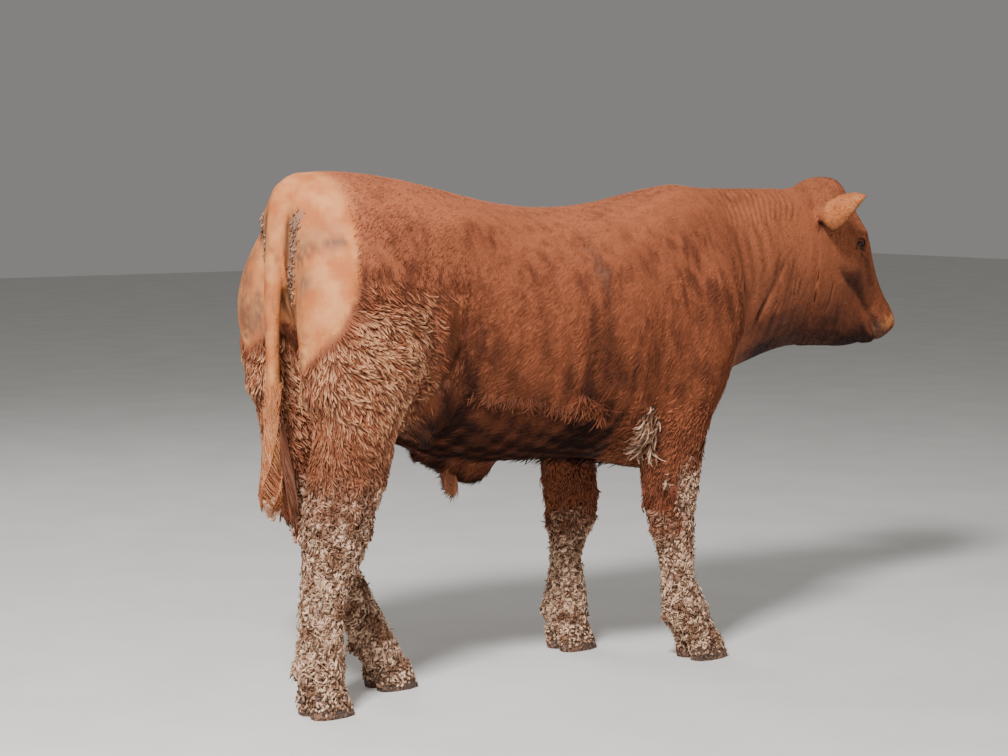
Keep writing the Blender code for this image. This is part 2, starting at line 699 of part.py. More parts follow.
def region_mesh(outline, x_from, x_to, grow):
    """A block over an outline in the YZ plane, its lid and inner side moved out by grow."""
    shape = bmesh.new()
    inward = -math.copysign(1.0, outline[0][0])
    base = []
    for y, z in outline:
        base.append(shape.verts.new((x_from, y + inward * grow, z + grow)))
    face = shape.faces.new(base)
    made = bmesh.ops.extrude_face_region(shape, geom=[face])
    top = [v for v in made["geom"] if isinstance(v, bmesh.types.BMVert)]
    bmesh.ops.translate(shape, verts=top, vec=(x_to - x_from, 0.0, 0.0))
    bmesh.ops.recalc_face_normals(shape, faces=shape.faces)
    mesh = bpy.data.meshes.new("region")
    shape.to_mesh(mesh)
    shape.free()
    return mesh


def claw_mesh(x, y, side):
    """One claw: a level sole on the floor, walls up to the sloping coronet."""
    rings = (
        (1.0, 0.0240, 0.045, 0.044, 0.000),
        (0.5, 0.0265, 0.057, 0.048, 0.006),
        (0.1, 0.0275, 0.070, 0.050, 0.010),
        (0.0, 0.0265, 0.068, 0.048, 0.010),
    )
    shape = bmesh.new()
    rows = []
    middle = y + side * CLAW_MIDDLE
    for share, half, ahead, behind, shift in rings:
        ring = []
        for k in range(CLAW_SIDES):
            angle = 2 * math.pi * k / CLAW_SIDES
            reach = ahead if math.cos(angle) > 0 else behind
            px = x + shift + reach * power_wave(math.cos(angle), 2.3)
            py = middle + half * power_wave(math.sin(angle), 2.6)
            if math.cos(angle) > 0:
                py += -side * 0.006 * math.cos(angle) ** 2
            top = CORONET + (px - x) * CORONET_SLOPE - GAP
            ring.append(shape.verts.new((px, py, top * share)))
        rows.append(ring)
    for first, second in zip(rows, rows[1:]):
        for k in range(CLAW_SIDES):
            j = (k + 1) % CLAW_SIDES
            shape.faces.new((first[k], first[j], second[j], second[k]))
    shape.faces.new(rows[0])
    shape.faces.new(rows[-1])
    bmesh.ops.triangulate(shape, faces=shape.faces)
    bmesh.ops.recalc_face_normals(shape, faces=shape.faces)
    mesh = bpy.data.meshes.new("claw")
    shape.to_mesh(mesh)
    shape.free()
    return mesh


def leg_from(body, group, outline, span, foot):
    """One leg out of the body: the part in its region, down to the coronet."""
    leg = boolean(body.copy(), [region_mesh(outline, *span, 0.0)], "INTERSECT", group)
    floor_side = Vector((CORONET_SLOPE, 0.0, -1.0)).normalized()
    leg = halved(leg, Vector((foot[0], foot[1], CORONET)), floor_side)
    return largest_surface(leg)


def tail_mesh(extra):
    """The dock of the tail, out of the rump and down between the thighs."""
    rows = [
        (0.052, 0.0, 1.286, 0.022, 0.032, 0.036),
        (0.044, 0.0, 1.276, 0.030, 0.040, 0.044),
        (0.018, 0.0, 1.250, 0.036, 0.040, 0.048),
        (-0.002, 0.0, 1.205, 0.034, 0.034, 0.040),
        (-0.024, 0.0, 1.110, 0.027, 0.024, 0.029),
        (-0.037, 0.0, 0.980, 0.023, 0.021, 0.022),
        (-0.037, 0.0, 0.840, 0.021, 0.020, 0.020),
        (-0.034, 0.0, 0.700, 0.022, 0.020, 0.021),
    ]
    table = [(x, y, z, w + extra, a + extra, b + extra) for x, y, z, w, a, b in rows]
    table.insert(0, (0.056, 0.0, 1.292 + extra, 0.012 + extra, 0.020 + extra, 0.022 + extra))
    return loft(table, LEFT, AHEAD, sides=12, between=2)


def switch_core_meshes():
    """The hair at the end of the tail: a clump, and a longer strand beside it."""
    clump = [
        (-0.034, 0.0, 0.730, 0.021, 0.019, 0.020),
        (-0.034, 0.002, 0.640, 0.025, 0.023, 0.024),
        (-0.036, 0.008, 0.560, 0.028, 0.025, 0.026),
        (-0.038, 0.010, 0.505, 0.022, 0.020, 0.020),
        (-0.038, 0.010, 0.475, 0.010, 0.010, 0.010),
    ]
    strand = [
        (-0.026, -0.006, 0.700, 0.016, 0.014, 0.014),
        (-0.010, -0.024, 0.600, 0.019, 0.017, 0.017),
        (0.000, -0.032, 0.500, 0.014, 0.013, 0.013),
        (0.005, -0.034, 0.405, 0.004, 0.004, 0.004),
    ]
    return [loft(rows, LEFT, AHEAD, sides=8, between=2) for rows in (clump, strand)]


def sheath_mesh(extra):
    """The sheath under the belly, with the skin before and behind it."""
    rows = [
        (0.350, 0.0, 0.600, 0.025, 0.030, 0.022),
        (0.410, 0.0, 0.590, 0.040, 0.050, 0.044),
        (0.470, 0.0, 0.580, 0.050, 0.060, 0.066),
        (0.525, 0.0, 0.575, 0.048, 0.060, 0.078),
        (0.565, 0.0, 0.575, 0.040, 0.050, 0.070),
        (0.610, 0.0, 0.580, 0.026, 0.040, 0.034),
        (0.650, 0.0, 0.585, 0.012, 0.020, 0.014),
    ]
    table = [(x, y, z, w + extra, a + extra, b + extra) for x, y, z, w, a, b in rows]
    return loft(table, LEFT, UP, sides=14, between=2)


def sheath_tuft_mesh():
    rows = [
        (0.455, 0.0, 0.540, 0.020, 0.022, 0.022),
        (0.468, 0.0, 0.505, 0.018, 0.020, 0.020),
        (0.480, 0.0, 0.475, 0.010, 0.012, 0.012),
        (0.484, 0.0, 0.463, 0.003, 0.004, 0.004),
    ]
    return loft(rows, LEFT, AHEAD, sides=8, between=1)


def ear_frame(side):
    """Root of the ear, its length, the way that its cup opens, and across it."""
    root = head_point(0.0, side * 0.074, 0.149)
    lift = 0.13 if side < 0 else 0.05
    along = (HEAD_LEFT * side * 0.93 + UP * lift - AHEAD * 0.10).normalized()
    opens = Vector((math.cos(HEAD_TURN), math.sin(HEAD_TURN), -0.30))
    opens = (opens - along * opens.dot(along)).normalized()
    across = opens.cross(along).normalized()
    return root, along, opens, across * math.copysign(1.0, across.z)


def ear_sections(side):
    """Rings along the ear: share of its length, middle, half width and depth of the cup."""
    rows = [
        (0.00, 0.024, 0.020, 0.000),
        (0.20, 0.048, 0.028, -0.015),
        (0.38, 0.054, 0.026, -0.015),
        (0.58, 0.045, 0.020, -0.004),
        (0.78, 0.029, 0.012, 0.010),
        (0.93, 0.011, 0.004, 0.019),
        (1.00, 0.003, 0.001, 0.022),
    ]
    root, along, _, across = ear_frame(side)
    sections = []
    for share, half, cup, shift in smooth_rows(rows, 2):
        sections.append((share, root + along * (share * EAR_LENGTH) + across * shift, half, cup))
    return sections


def ear_mesh(side):
    """A leaf-shaped cup with thin walls."""
    _, _, opens, across = ear_frame(side)
    shape = bmesh.new()
    rings = []
    for share, centre, half, cup in ear_sections(side):
        wall = EAR_WALL * (1.0 - 0.55 * share)
        back, front = [], []
        for k in range(EAR_STEPS + 1):
            a = -1.0 + 2.0 * k / EAR_STEPS
            rise = 1.0 - a * a
            back.append(centre + across * (half * a) - opens * (cup * rise))
            inner = (cup - wall) * rise - wall * 0.5
            front.append(centre + across * ((half - wall * 0.6) * a) - opens * inner)
        rings.append([shape.verts.new(p) for p in back + front[::-1]])
    count = len(rings[0])
    for first, second in zip(rings, rings[1:]):
        for k in range(count):
            j = (k + 1) % count
            shape.faces.new((first[k], first[j], second[j]))
            shape.faces.new((first[k], second[j], second[k]))
    shape.faces.new(rings[0])
    shape.faces.new(rings[-1])
    bmesh.ops.triangulate(shape, faces=shape.faces)
    bmesh.ops.recalc_face_normals(shape, faces=shape.faces)
    mesh = bpy.data.meshes.new("ear")
    shape.to_mesh(mesh)
    shape.free()
    return mesh


def ear_socket(side):
    """The pocket in the head that the root of the ear sits in."""
    _, along, opens, across = ear_frame(side)
    rows = []
    for share, centre, half, cup in ear_sections(side)[:5]:
        rows.append((*(centre - along * GAP), half + 0.003, 0.008, cup + 0.002))
    return loft(rows, across, opens, sides=16, between=1, powers=(6.0, 4.0))


def lock_mesh(root, normal, lie, length, width, lift, rng):
    """A flat tapered lock of hair, sunk into the skin at its root and swept to one side."""
    across = normal.cross(lie).normalized()
    sweep = across * (length * rng.uniform(-0.35, 0.35))
    stations = (
        (root - normal * LOCK_ROOT - lie * (0.15 * length), 0.80),
        (root + lie * (0.30 * length) + normal * (lift * 0.45), 1.00),
        (root + lie * (0.70 * length) + normal * (lift * 0.85) + sweep * 0.45, 0.72),
    )
    shape = bmesh.new()
    rings = []
    for centre, share in stations:
        side = across * (width * share / 2)
        thick = normal * (LOCK_THICKNESS * share / 2)
        ring = [centre + side, centre + thick, centre - side, centre - thick]
        rings.append([shape.verts.new(p) for p in ring])
    tip = shape.verts.new(root + lie * length + normal * lift + sweep)
    for first, second in zip(rings, rings[1:]):
        for k in range(4):
            j = (k + 1) % 4
            shape.faces.new((first[k], first[j], second[j], second[k]))
    for k in range(4):
        shape.faces.new((rings[-1][k], rings[-1][(k + 1) % 4], tip))
    shape.faces.new(rings[0])
    bmesh.ops.triangulate(shape, faces=shape.faces)
    bmesh.ops.recalc_face_normals(shape, faces=shape.faces)
    mesh = bpy.data.meshes.new("lock")
    shape.to_mesh(mesh)
    shape.free()
    return mesh


def with_hair(mesh, rows, rng, group):
    """The mesh with its locks joined to it."""
    corners = [v.co.copy() for v in mesh.vertices]
    tree = BVHTree.FromPolygons(corners, [tuple(p.vertices) for p in mesh.polygons])
    locks = []
    for count, start, end, aim, hang, length, width, lift, free in rows:
        for i in range(count):
            share = (i + 0.5 + rng.uniform(-0.3, 0.3)) / count
            wander = Vector([rng.uniform(-0.008, 0.008) for _ in range(3)])
            begin = Vector(start).lerp(Vector(end), share) + wander
            root, normal, _, _ = tree.ray_cast(begin, Vector(aim).normalized())
            if root is None:
                continue
            hang = Vector(hang).normalized()
            lie = (hang - normal * hang.dot(normal)).normalized().lerp(hang, free).normalized()
            size = rng.uniform(0.75, 1.20)
            locks.append(lock_mesh(root, normal, lie, length * size, width * size, lift, rng))
    return boolean(mesh, locks, "UNION", group)


def hair_round(count, middle, heights, length, width, lift, turn_from, turn_to):
    """Rows for locks that hang all round an upright core."""
    rows = []
    for i in range(count):
        turn = turn_from + (turn_to - turn_from) * ((i * 0.382) % 1.0)
        high, low = heights
        height = high + (low - high) * (i + 0.5) / count
        out = Vector((math.cos(turn), math.sin(turn), 0.0))
        start = Vector((middle[0], middle[1], height)) + out * 0.2
        rows.append((1, start, start, -out, DOWN, length, width, lift, 0.2))
    return rows


def place_part(name, mesh, group, base, material):
    """Gives a finished mesh its node, shaded smooth, standing on the shared base."""
    mesh.materials.clear()
    mesh.materials.append(material)
    item = mesh_object(name, mesh, group)
    item.parent = base
    mesh.shade_smooth()
    mesh.set_sharp_from_angle(angle=math.radians(50.0))
    return item


def build_parts(parts, work):
    coat = make_material("red_coat", (0.40, 0.135, 0.045), 0.75)
    pale = make_material("tan_hair", (0.52, 0.27, 0.13), 0.75)
    mud = make_material("muddy_hair", (0.22, 0.15, 0.10), 0.90)
    horn = make_material("claw_horn", (0.10, 0.075, 0.055), 0.60)
    wet = make_material("eye_surface", (0.012, 0.008, 0.006), 0.08)

    base = bpy.data.objects.new("stance", None)
    parts.objects.link(base)

    flesh = build_flesh(work)
    ahead = flesh.copy()
    flesh = halved(flesh, NECK_CUT + NECK_CUT_NORMAL * 0.03, NECK_CUT_NORMAL)
    ahead = halved(ahead, NECK_CUT - NECK_CUT_NORMAL * 0.03, -NECK_CUT_NORMAL)
    ahead = halved(ahead, HEAD_CUT + HEAD_CUT_NORMAL * 0.03, HEAD_CUT_NORMAL)

    neck = reduced(ahead, work, NECK_TRIANGLES)
    neck = halved(neck, NECK_CUT + NECK_CUT_NORMAL * GAP / 2, -NECK_CUT_NORMAL)
    neck = halved(neck, HEAD_CUT - HEAD_CUT_NORMAL * GAP / 2, HEAD_CUT_NORMAL)
    made = {"neck": (largest_surface(neck), coat)}

    head = reduced(build_head_flesh(work), work, HEAD_TRIANGLES)
    head = halved(head, HEAD_CUT + HEAD_CUT_NORMAL * GAP / 2, -HEAD_CUT_NORMAL)
    hollows = []
    for side, word in SIDES:
        radius = EYE_RADIUS
        made["eye_" + word] = (ball(eye_centre(side), (radius,) * 3, segments=14, rings=9), wet)
        radius += GAP
        hollows.append(ball(eye_centre(side), (radius,) * 3, segments=14, rings=9))
        made["ear_" + word] = (ear_mesh(side), coat)
        hollows.append(ear_socket(side))
    made["head"] = (boolean(head, hollows, "DIFFERENCE", work), coat)

    body = reduced(flesh, work, BODY_TRIANGLES)
    body = halved(body, NECK_CUT - NECK_CUT_NORMAL * GAP / 2, NECK_CUT_NORMAL)
    body = largest_surface(body)
    rng = random.Random(11)
    regions = []
    for name, (outline, span) in LEG_REGIONS.items():
        leg = leg_from(body, work, outline, span, FEET[name])
        made[name] = (with_hair(leg, HAIR[name], rng, work), mud)
        regions.append(region_mesh(outline, *span, GAP))
    made["tail"] = (halved(tail_mesh(0.0), TAIL_CUT + UP * GAP / 2, -UP), coat)
    clump, strand = switch_core_meshes()
    switch = boolean(clump, [strand], "UNION", work)
    switch = halved(switch, TAIL_CUT - UP * GAP / 2, UP)
    hanging = hair_round(13, (-0.036, 0.006), (0.660, 0.510), 0.085, 0.026, 0.010, 1.3, 5.0)
    hanging += hair_round(5, (-0.004, -0.028), (0.560, 0.450), 0.070, 0.018, 0.005, 2.6, 5.2)
    made["tail_switch"] = (with_hair(switch, hanging, rng, work), mud)
    sheath = boolean(sheath_mesh(0.0), [sheath_tuft_mesh()], "UNION", work)
    hanging = hair_round(7, (0.468, 0.0), (0.525, 0.500), 0.045, 0.022, 0.007, 0.0, 2 * math.pi)
    made["sheath"] = (with_hair(sheath, hanging, rng, work), coat)
    torso = body
    for tool in (*regions, tail_mesh(GAP), sheath_mesh(GAP)):
        torso = boolean(torso, [tool], "DIFFERENCE", work)
    made["torso"] = (with_hair(torso, HAIR["torso"], rng, work), coat)

    for name, (x, y, _) in FEET.items():
        for side, word in ((-1, "right"), (1, "left")):
            claw = claw_mesh(x, y, side)
            made["claw_" + name + "_" + word] = (claw, horn)

    for name, (mesh, material) in made.items():
        place_part(name, mesh, parts, base, material)
    base.location = footprint_shift([mesh for mesh, _ in made.values()])


def footprint_shift(meshes):
    """Brings the middle of the model's footprint to the origin."""
    points = np.vstack([mesh_arrays(mesh)[0] for mesh in meshes])
    middle = (points.min(axis=0) + points.max(axis=0)) / 2
    return Vector((-middle[0], -middle[1], 0.0))


def main():
    clear_scene()
    parts = make_collection(COLLECTION)
    work = make_collection("work")
    build_parts(parts, work)
    bpy.data.collections.remove(work)


main()
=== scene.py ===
"""The looks of a life-size red charolais bull calf in winter coat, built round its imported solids."""

import math

import bpy
import numpy as np
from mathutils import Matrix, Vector


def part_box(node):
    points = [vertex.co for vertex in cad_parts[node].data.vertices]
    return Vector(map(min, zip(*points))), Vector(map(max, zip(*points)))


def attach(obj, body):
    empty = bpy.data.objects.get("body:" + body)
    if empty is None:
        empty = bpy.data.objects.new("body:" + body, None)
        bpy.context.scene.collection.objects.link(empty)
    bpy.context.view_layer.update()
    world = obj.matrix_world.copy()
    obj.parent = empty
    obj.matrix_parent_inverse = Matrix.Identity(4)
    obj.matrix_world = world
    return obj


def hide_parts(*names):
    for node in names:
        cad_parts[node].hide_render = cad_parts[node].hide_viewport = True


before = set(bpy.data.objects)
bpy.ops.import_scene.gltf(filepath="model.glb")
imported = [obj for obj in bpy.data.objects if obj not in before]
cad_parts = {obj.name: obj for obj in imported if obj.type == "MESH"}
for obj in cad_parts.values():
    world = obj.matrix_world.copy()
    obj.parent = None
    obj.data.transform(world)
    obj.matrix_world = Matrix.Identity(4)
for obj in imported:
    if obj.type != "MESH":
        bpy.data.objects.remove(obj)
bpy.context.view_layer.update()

# Places on the animal are measured from the ground under its right hind foot, x ahead, y to its left.
# The head has its own directions, which its two eyes give: along the face, to its left, and inwards.
UP = Vector((0, 0, 1))
FACE_PITCH = math.radians(54)
HEAD_LENGTH = 0.513
EYE_ALONG, EYE_DEEP = 0.172, 0.082
POLL_PLACE = Vector((1.780, 0.048, 1.264))


def middle(node):
    """The middle of a solid's box."""
    low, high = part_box(node)
    return (low + high) / 2


EYES_MIDDLE = (middle("eye_right") + middle("eye_left")) / 2
HEAD_LEFT = (middle("eye_left") - middle("eye_right")).normalized()
FACE_DOWN = HEAD_LEFT.cross(UP) * math.cos(FACE_PITCH) - UP * math.sin(FACE_PITCH)
FACE_IN = HEAD_LEFT.cross(FACE_DOWN)
POLL = EYES_MIDDLE - FACE_DOWN * EYE_ALONG - FACE_IN * EYE_DEEP
ORIGIN = Vector(((POLL - POLL_PLACE).x, (POLL - POLL_PLACE).y, 0))

# The hide is the animal's skin, one closed surface from the muzzle down to the claws. It is the solids'
# own surface, drawn in by a coat's depth under the long coat, and hardly at all on face, neck and tail,
# where the hair is short.
HIDE_NODES = ["torso", "neck", "head", "ear_right", "ear_left", "hind_right", "hind_left",
              "fore_right", "fore_left", "tail", "sheath"]
CLAW_NODES = sorted(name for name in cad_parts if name.startswith("claw"))
MERGE_GAP = 0.00001
BODY_STEP = 0.0042
FACE_STEP = 0.0019
COAT_DEPTH = 0.0068
DEPTH_BAND = 0.02
FACE_DEPTH = 0.0012
SEAM_X = 1.655
BODY_TRIANGLES = 118000
FACE_TRIANGLES = 84000


def model_points(mesh):
    """All points of a mesh, measured from the animal's own origin."""
    flat = np.empty(len(mesh.vertices) * 3)
    mesh.vertices.foreach_get("co", flat)
    return flat.reshape(-1, 3) - np.array(ORIGIN)


def point_normals(mesh):
    """The outward direction at each point of a mesh."""
    flat = np.empty(len(mesh.vertices) * 3)
    mesh.vertices.foreach_get("normal", flat)
    return flat.reshape(-1, 3)


def set_points(mesh, points):
    """Moves a mesh's points to these places, measured from the animal's own origin."""
    mesh.vertices.foreach_set("co", (points + np.array(ORIGIN)).ravel())
    mesh.update()


def ramp(value, low, high):
    """0 below low, 1 above high, and a smooth rise between them, either way round."""
    share = np.clip((value - low) / (high - low), 0, 1)
    return share * share * (3 - 2 * share)


def only(thing):
    """Makes this object the one selected and active object."""
    bpy.ops.object.select_all(action="DESELECT")
    thing.select_set(True)
    bpy.context.view_layer.objects.active = thing


def apply(thing, kind, **settings):
    """Puts a modifier of this kind on an object and applies it."""
    only(thing)
    modifier = thing.modifiers.new(kind, kind)
    for name, value in settings.items():
        setattr(modifier, name, value)
    bpy.ops.object.modifier_apply(modifier=modifier.name)


def copy_of(name, nodes):
    """One new object that holds copies of these solids, each merged into a closed surface."""
    copies = []
    for node in nodes:
        copied = bpy.data.objects.new(name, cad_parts[node].data.copy())
        bpy.context.scene.collection.objects.link(copied)
        copies.append(copied)
    only(copies[0])
    for copied in copies:
        copied.select_set(True)
    bpy.ops.object.join()
    bpy.ops.object.mode_set(mode="EDIT")
    bpy.ops.mesh.select_all(action="SELECT")
    bpy.ops.mesh.remove_doubles(threshold=MERGE_GAP)
    bpy.ops.object.mode_set(mode="OBJECT")
    copies[0].name = name
    return copies[0]


def inset_group():
    """Geometry nodes that pull a closed surface in by the coat's depth, which drops thin locks."""
    group = bpy.data.node_groups.new("Inset by the coat", "GeometryNodeTree")
    group.interface.new_socket("Geometry", in_out="INPUT", socket_type="NodeSocketGeometry")
    group.interface.new_socket("Geometry", in_out="OUTPUT", socket_type="NodeSocketGeometry")
    source = group.nodes.new("NodeGroupInput")
    volume = group.nodes.new("GeometryNodeMeshToVolume")
    surface = group.nodes.new("GeometryNodeVolumeToMesh")
    result = group.nodes.new("NodeGroupOutput")
    volume.resolution_mode = "VOXEL_SIZE"
    volume.inputs["Voxel Size"].default_value = BODY_STEP
    volume.inputs["Interior Band Width"].default_value = DEPTH_BAND
    volume.inputs["Density"].default_value = 1
    surface.inputs["Threshold"].default_value = COAT_DEPTH / DEPTH_BAND
    group.links.new(source.outputs[0], volume.inputs["Mesh"])
    group.links.new(volume.outputs[0], surface.inputs["Volume"])
    group.links.new(surface.outputs[0], result.inputs[0])
    return group


def head_place(points):
    """How far along the face, to the head's left, and inwards from the poll each point lies."""
    offset = points - np.array(POLL - ORIGIN)
    return [offset @ np.array(way) for way in (FACE_DOWN, HEAD_LEFT, FACE_IN)]


def head_point(along, left, deep):
    """The place, measured from the animal's own origin, that lies so far from the poll."""
    return np.array(POLL - ORIGIN + FACE_DOWN * along + HEAD_LEFT * left + FACE_IN * deep)


def wave(points, size, seed, directions=5):
    """A smooth random value from -1 to 1 that changes over about this size."""
    draw = np.random.default_rng(seed)
    total = np.zeros(len(points))
    for _ in range(directions):
        way = draw.normal(size=3)
        way *= 2 * math.pi / (size * np.linalg.norm(way))
        total += np.sin(points @ way + draw.uniform(0, 2 * math.pi))
    return total / directions * 1.4


def bell(value, middle, width):
    """1 where the value is the middle one, falling smoothly to 0 within about twice the width."""
    return np.exp(-(((value - middle) / width) ** 2))


def line_place(points, start, end):
    """How far along a line each point lies, from 0 to 1, and how far away from it."""
    start, end = np.array(start), np.array(end)
    line = end - start
    share = np.clip((points - start) @ line / (line @ line), 0, 1)
    return share, np.linalg.norm(points - start - share[:, None] * line, axis=1)


def groove(points, start, end, width, depth):
    """How deep one groove is at each point, fading out at both its ends."""
    share, away = line_place(points, start, end)
    fade = np.minimum(1, 0.35 + 4 * share * (1 - share))
    return depth * fade * bell(away, 0, width)


def grooves_at(points, grooves, waviness):
    """The depth of all the grooves and of their mirror images on the left side."""
    shifts = [wave(points, 0.09, seed) for seed in (11, 12, 13)]
    bent = points + waviness * np.stack(shifts, axis=1)
    depth = np.zeros(len(points))
    for start, end, width, deep in grooves:
        for side in (1, -1):
            near = (start[0], start[1] * side, start[2])
            far = (end[0], end[1] * side, end[2])
            depth += groove(bent, near, far, width, deep)
    return depth


def thin_out(thing, triangles):
    """Thins a mesh out to so many triangles, mostly where it is flat."""
    present = sum(len(polygon.vertices) - 2 for polygon in thing.data.polygons)
    apply(thing, "DECIMATE", ratio=triangles / present)


# The body's skin, with the upright folds of the neck, the grooves behind the jaw, and the deep folds
# behind the elbow and before the thigh. They are pressed into the drawn-in surface.
NECK_FOLD_GAP = 0.021
NECK_FOLD_DEPTH = 0.0050
NECK_FOLD_SLANT = 0.30
GROOVE_BEND = 0.006
# start, end, half width, depth, on the right side
NECK_GROOVES = [
    ((1.531, -0.09, 1.085), (1.458, -0.104, 0.981), 0.0065, 0.0075),
    ((1.458, -0.104, 0.981), (1.385, -0.095, 0.850), 0.0085, 0.0090),
    ((1.492, -0.097, 1.086), (1.444, -0.103, 0.954), 0.0055, 0.0050),
    ((1.444, -0.103, 0.954), (1.395, -0.110, 0.880), 0.0055, 0.0040),
    ((1.560, -0.085, 1.060), (1.500, -0.095, 0.930), 0.0050, 0.0040),
    ((1.430, -0.110, 1.050), (1.350, -0.125, 0.930), 0.0060, 0.0040),
    ((1.480, -0.100, 0.930), (1.430, -0.090, 0.850), 0.0055, 0.0040),
]
FLANK_FOLDS = [
    ((0.722, -0.275, 0.950), (0.725, -0.258, 0.745), 0.0220, 0.0095),
    ((0.658, -0.269, 0.930), (0.675, -0.262, 0.780), 0.0160, 0.0065),
    ((0.775, -0.269, 0.985), (0.757, -0.272, 0.850), 0.0160, 0.0070),
    ((0.600, -0.263, 0.950), (0.612, -0.258, 0.820), 0.0120, 0.0070),
    ((0.340, -0.236, 1.030), (0.372, -0.222, 0.880), 0.0300, 0.0110),
    ((0.372, -0.222, 0.880), (0.320, -0.185, 0.760), 0.0240, 0.0140),
]
BUTTOCK_FOOT = 0.770
BUTTOCK_FILL = 0.012


def short_coat(points):
    """1 where the coat is so short that the hide is brought back out: neck, tail, buttocks."""
    x, y, z = points.T
    neck = ramp(x, 1.25, 1.52) * ramp(x, SEAM_X + 0.022, SEAM_X - 0.020)
    tail = ramp(x, 0.012, -0.012) * ramp(np.abs(y), 0.045, 0.030) * ramp(z, 0.66, 0.70)
    rump = 0.6 * ramp(x, 0.10, 0.02) * ramp(z, 0.74, 0.86)
    return np.maximum.reduce([neck, tail, rump])


hide = copy_of("hide", HIDE_NODES + CLAW_NODES)
apply(hide, "REMESH", mode="VOXEL", voxel_size=BODY_STEP)
apply(hide, "NODES", node_group=inset_group())
apply(hide, "SMOOTH", iterations=7, factor=0.5)
body_points = model_points(hide.data)
x, y, z = body_points.T
neck_side = ramp(x, 1.24, 1.34) * ramp(x, 1.64, 1.58) * ramp(z, 0.84, 1.04) * ramp(z, 1.29, 1.25)
fold_place = (x + NECK_FOLD_SLANT * (1.15 - z) + 0.011 * wave(body_points, 0.13, 3)) / NECK_FOLD_GAP
fold_depth = NECK_FOLD_DEPTH * neck_side * (0.6 + 0.4 * wave(body_points, 0.10, 4))
folds = fold_depth * (1 - np.abs(np.sin(math.pi * fold_place))) ** 2
folds += grooves_at(body_points, NECK_GROOVES + FLANK_FOLDS, GROOVE_BEND)
filled = BUTTOCK_FILL * bell(z, BUTTOCK_FOOT, 0.028) * ramp(x, 0.04, -0.01) * ramp(np.abs(y), 0.05, 0.09)
rise = short_coat(body_points) * (COAT_DEPTH - FACE_DEPTH) - folds + filled
set_points(hide.data, body_points + point_normals(hide.data) * rise[:, None])
thin_out(hide, BODY_TRIANGLES)

# The head's skin, with its lids and eye openings, the mouth line, nostrils and fine wrinkles. The
# wrinkles lie on the cheek, under the eye and above it. It has a finer grain than the body's skin.
EYE_RADIUS = 0.0185
EYE_ASIDE = 0.087
EYE_AXIS_TILT = math.radians(29)
EYE_OPENING = (0.0162, 0.0102)
LID_THICKNESS = 0.0024
LID_CREASE = 0.0024
EYE_SINK = 0.0035
FACE_GROOVE_BEND = 0.004
SEAM_TUCK = 0.012
# start, end, half width, depth, on the right side
HEAD_GROOVES = [
    ((1.622, -0.071, 0.997), (1.583, -0.067, 0.934), 0.0050, 0.0042),
    ((1.716, -0.048, 0.985), (1.692, -0.034, 0.900), 0.0046, 0.0040),
    ((1.735, -0.048, 0.975), (1.712, -0.034, 0.890), 0.0038, 0.0034),
    ((1.756, -0.040, 0.930), (1.735, -0.030, 0.870), 0.0036, 0.0030),
    ((1.800, -0.030, 0.900), (1.775, -0.020, 0.850), 0.0036, 0.0030),
    ((1.690, -0.050, 1.010), (1.668, -0.045, 0.930), 0.0040, 0.0032),
]
# along the face, aside, inwards: the line between the lips from its corner to the front
MOUTH_LINE = ((0.425, 0.066, 0.116), (0.448, 0.063, 0.112), (0.487, 0.047, 0.107), (0.508, 0.0, 0.103))
MOUTH_WIDTH, MOUTH_DEPTH = 0.0030, 0.0040
NOSTRIL_LINE = ((0.494, 0.026, 0.040), (0.486, 0.044, 0.056))
NOSTRIL_WIDTH, NOSTRIL_DEPTH = 0.0058, 0.0085


def unit(vectors):
    """The same directions, one metre long."""
    return vectors / np.maximum(np.linalg.norm(vectors, axis=1, keepdims=True), 1e-9)


def carve_eye(points, side):
    """Cuts an almond opening over the eyeball on one side and lays a lid round its rim."""
    centre = head_point(EYE_ALONG, side * EYE_ASIDE, EYE_DEEP)
    face_down, face_in = np.array(FACE_DOWN), np.array(FACE_IN)
    out = unit((side * np.array(HEAD_LEFT) * 0.96 - 0.26 * face_in)[None])[0]
    long_way = math.cos(EYE_AXIS_TILT) * face_down - math.sin(EYE_AXIS_TILT) * face_in
    long_way = unit((long_way - out * (long_way @ out))[None])[0]
    tall_way = np.cross(out, long_way)
    tall_way *= np.sign(tall_way[2])
    offset = points - centre
    distance = np.linalg.norm(offset, axis=1)
    on_ball = offset * (EYE_RADIUS / np.maximum(distance, 1e-6))[:, None]
    along, tall = on_ball @ long_way, on_ball @ tall_way
    arch = np.where(tall > 0, 1.15, 0.85)
    rim = np.hypot(along / EYE_OPENING[0], tall / (EYE_OPENING[1] * arch))
    near = (on_ball @ out > 0.25 * EYE_RADIUS) & (distance < 2.6 * EYE_RADIUS)
    lid_reach = EYE_RADIUS + LID_THICKNESS + 0.0014 * ramp(tall, 0, 0.01)
    lid = lid_reach + (distance - lid_reach) * ramp(rim, 1.12, 1.75)
    lid -= LID_CREASE * bell(rim, 1.42, 0.10)
    wanted = np.where(rim < 1, EYE_RADIUS - EYE_SINK, lid)
    scale = np.where(near, wanted / np.maximum(distance, 1e-6), 1)
    return centre + offset * scale[:, None]


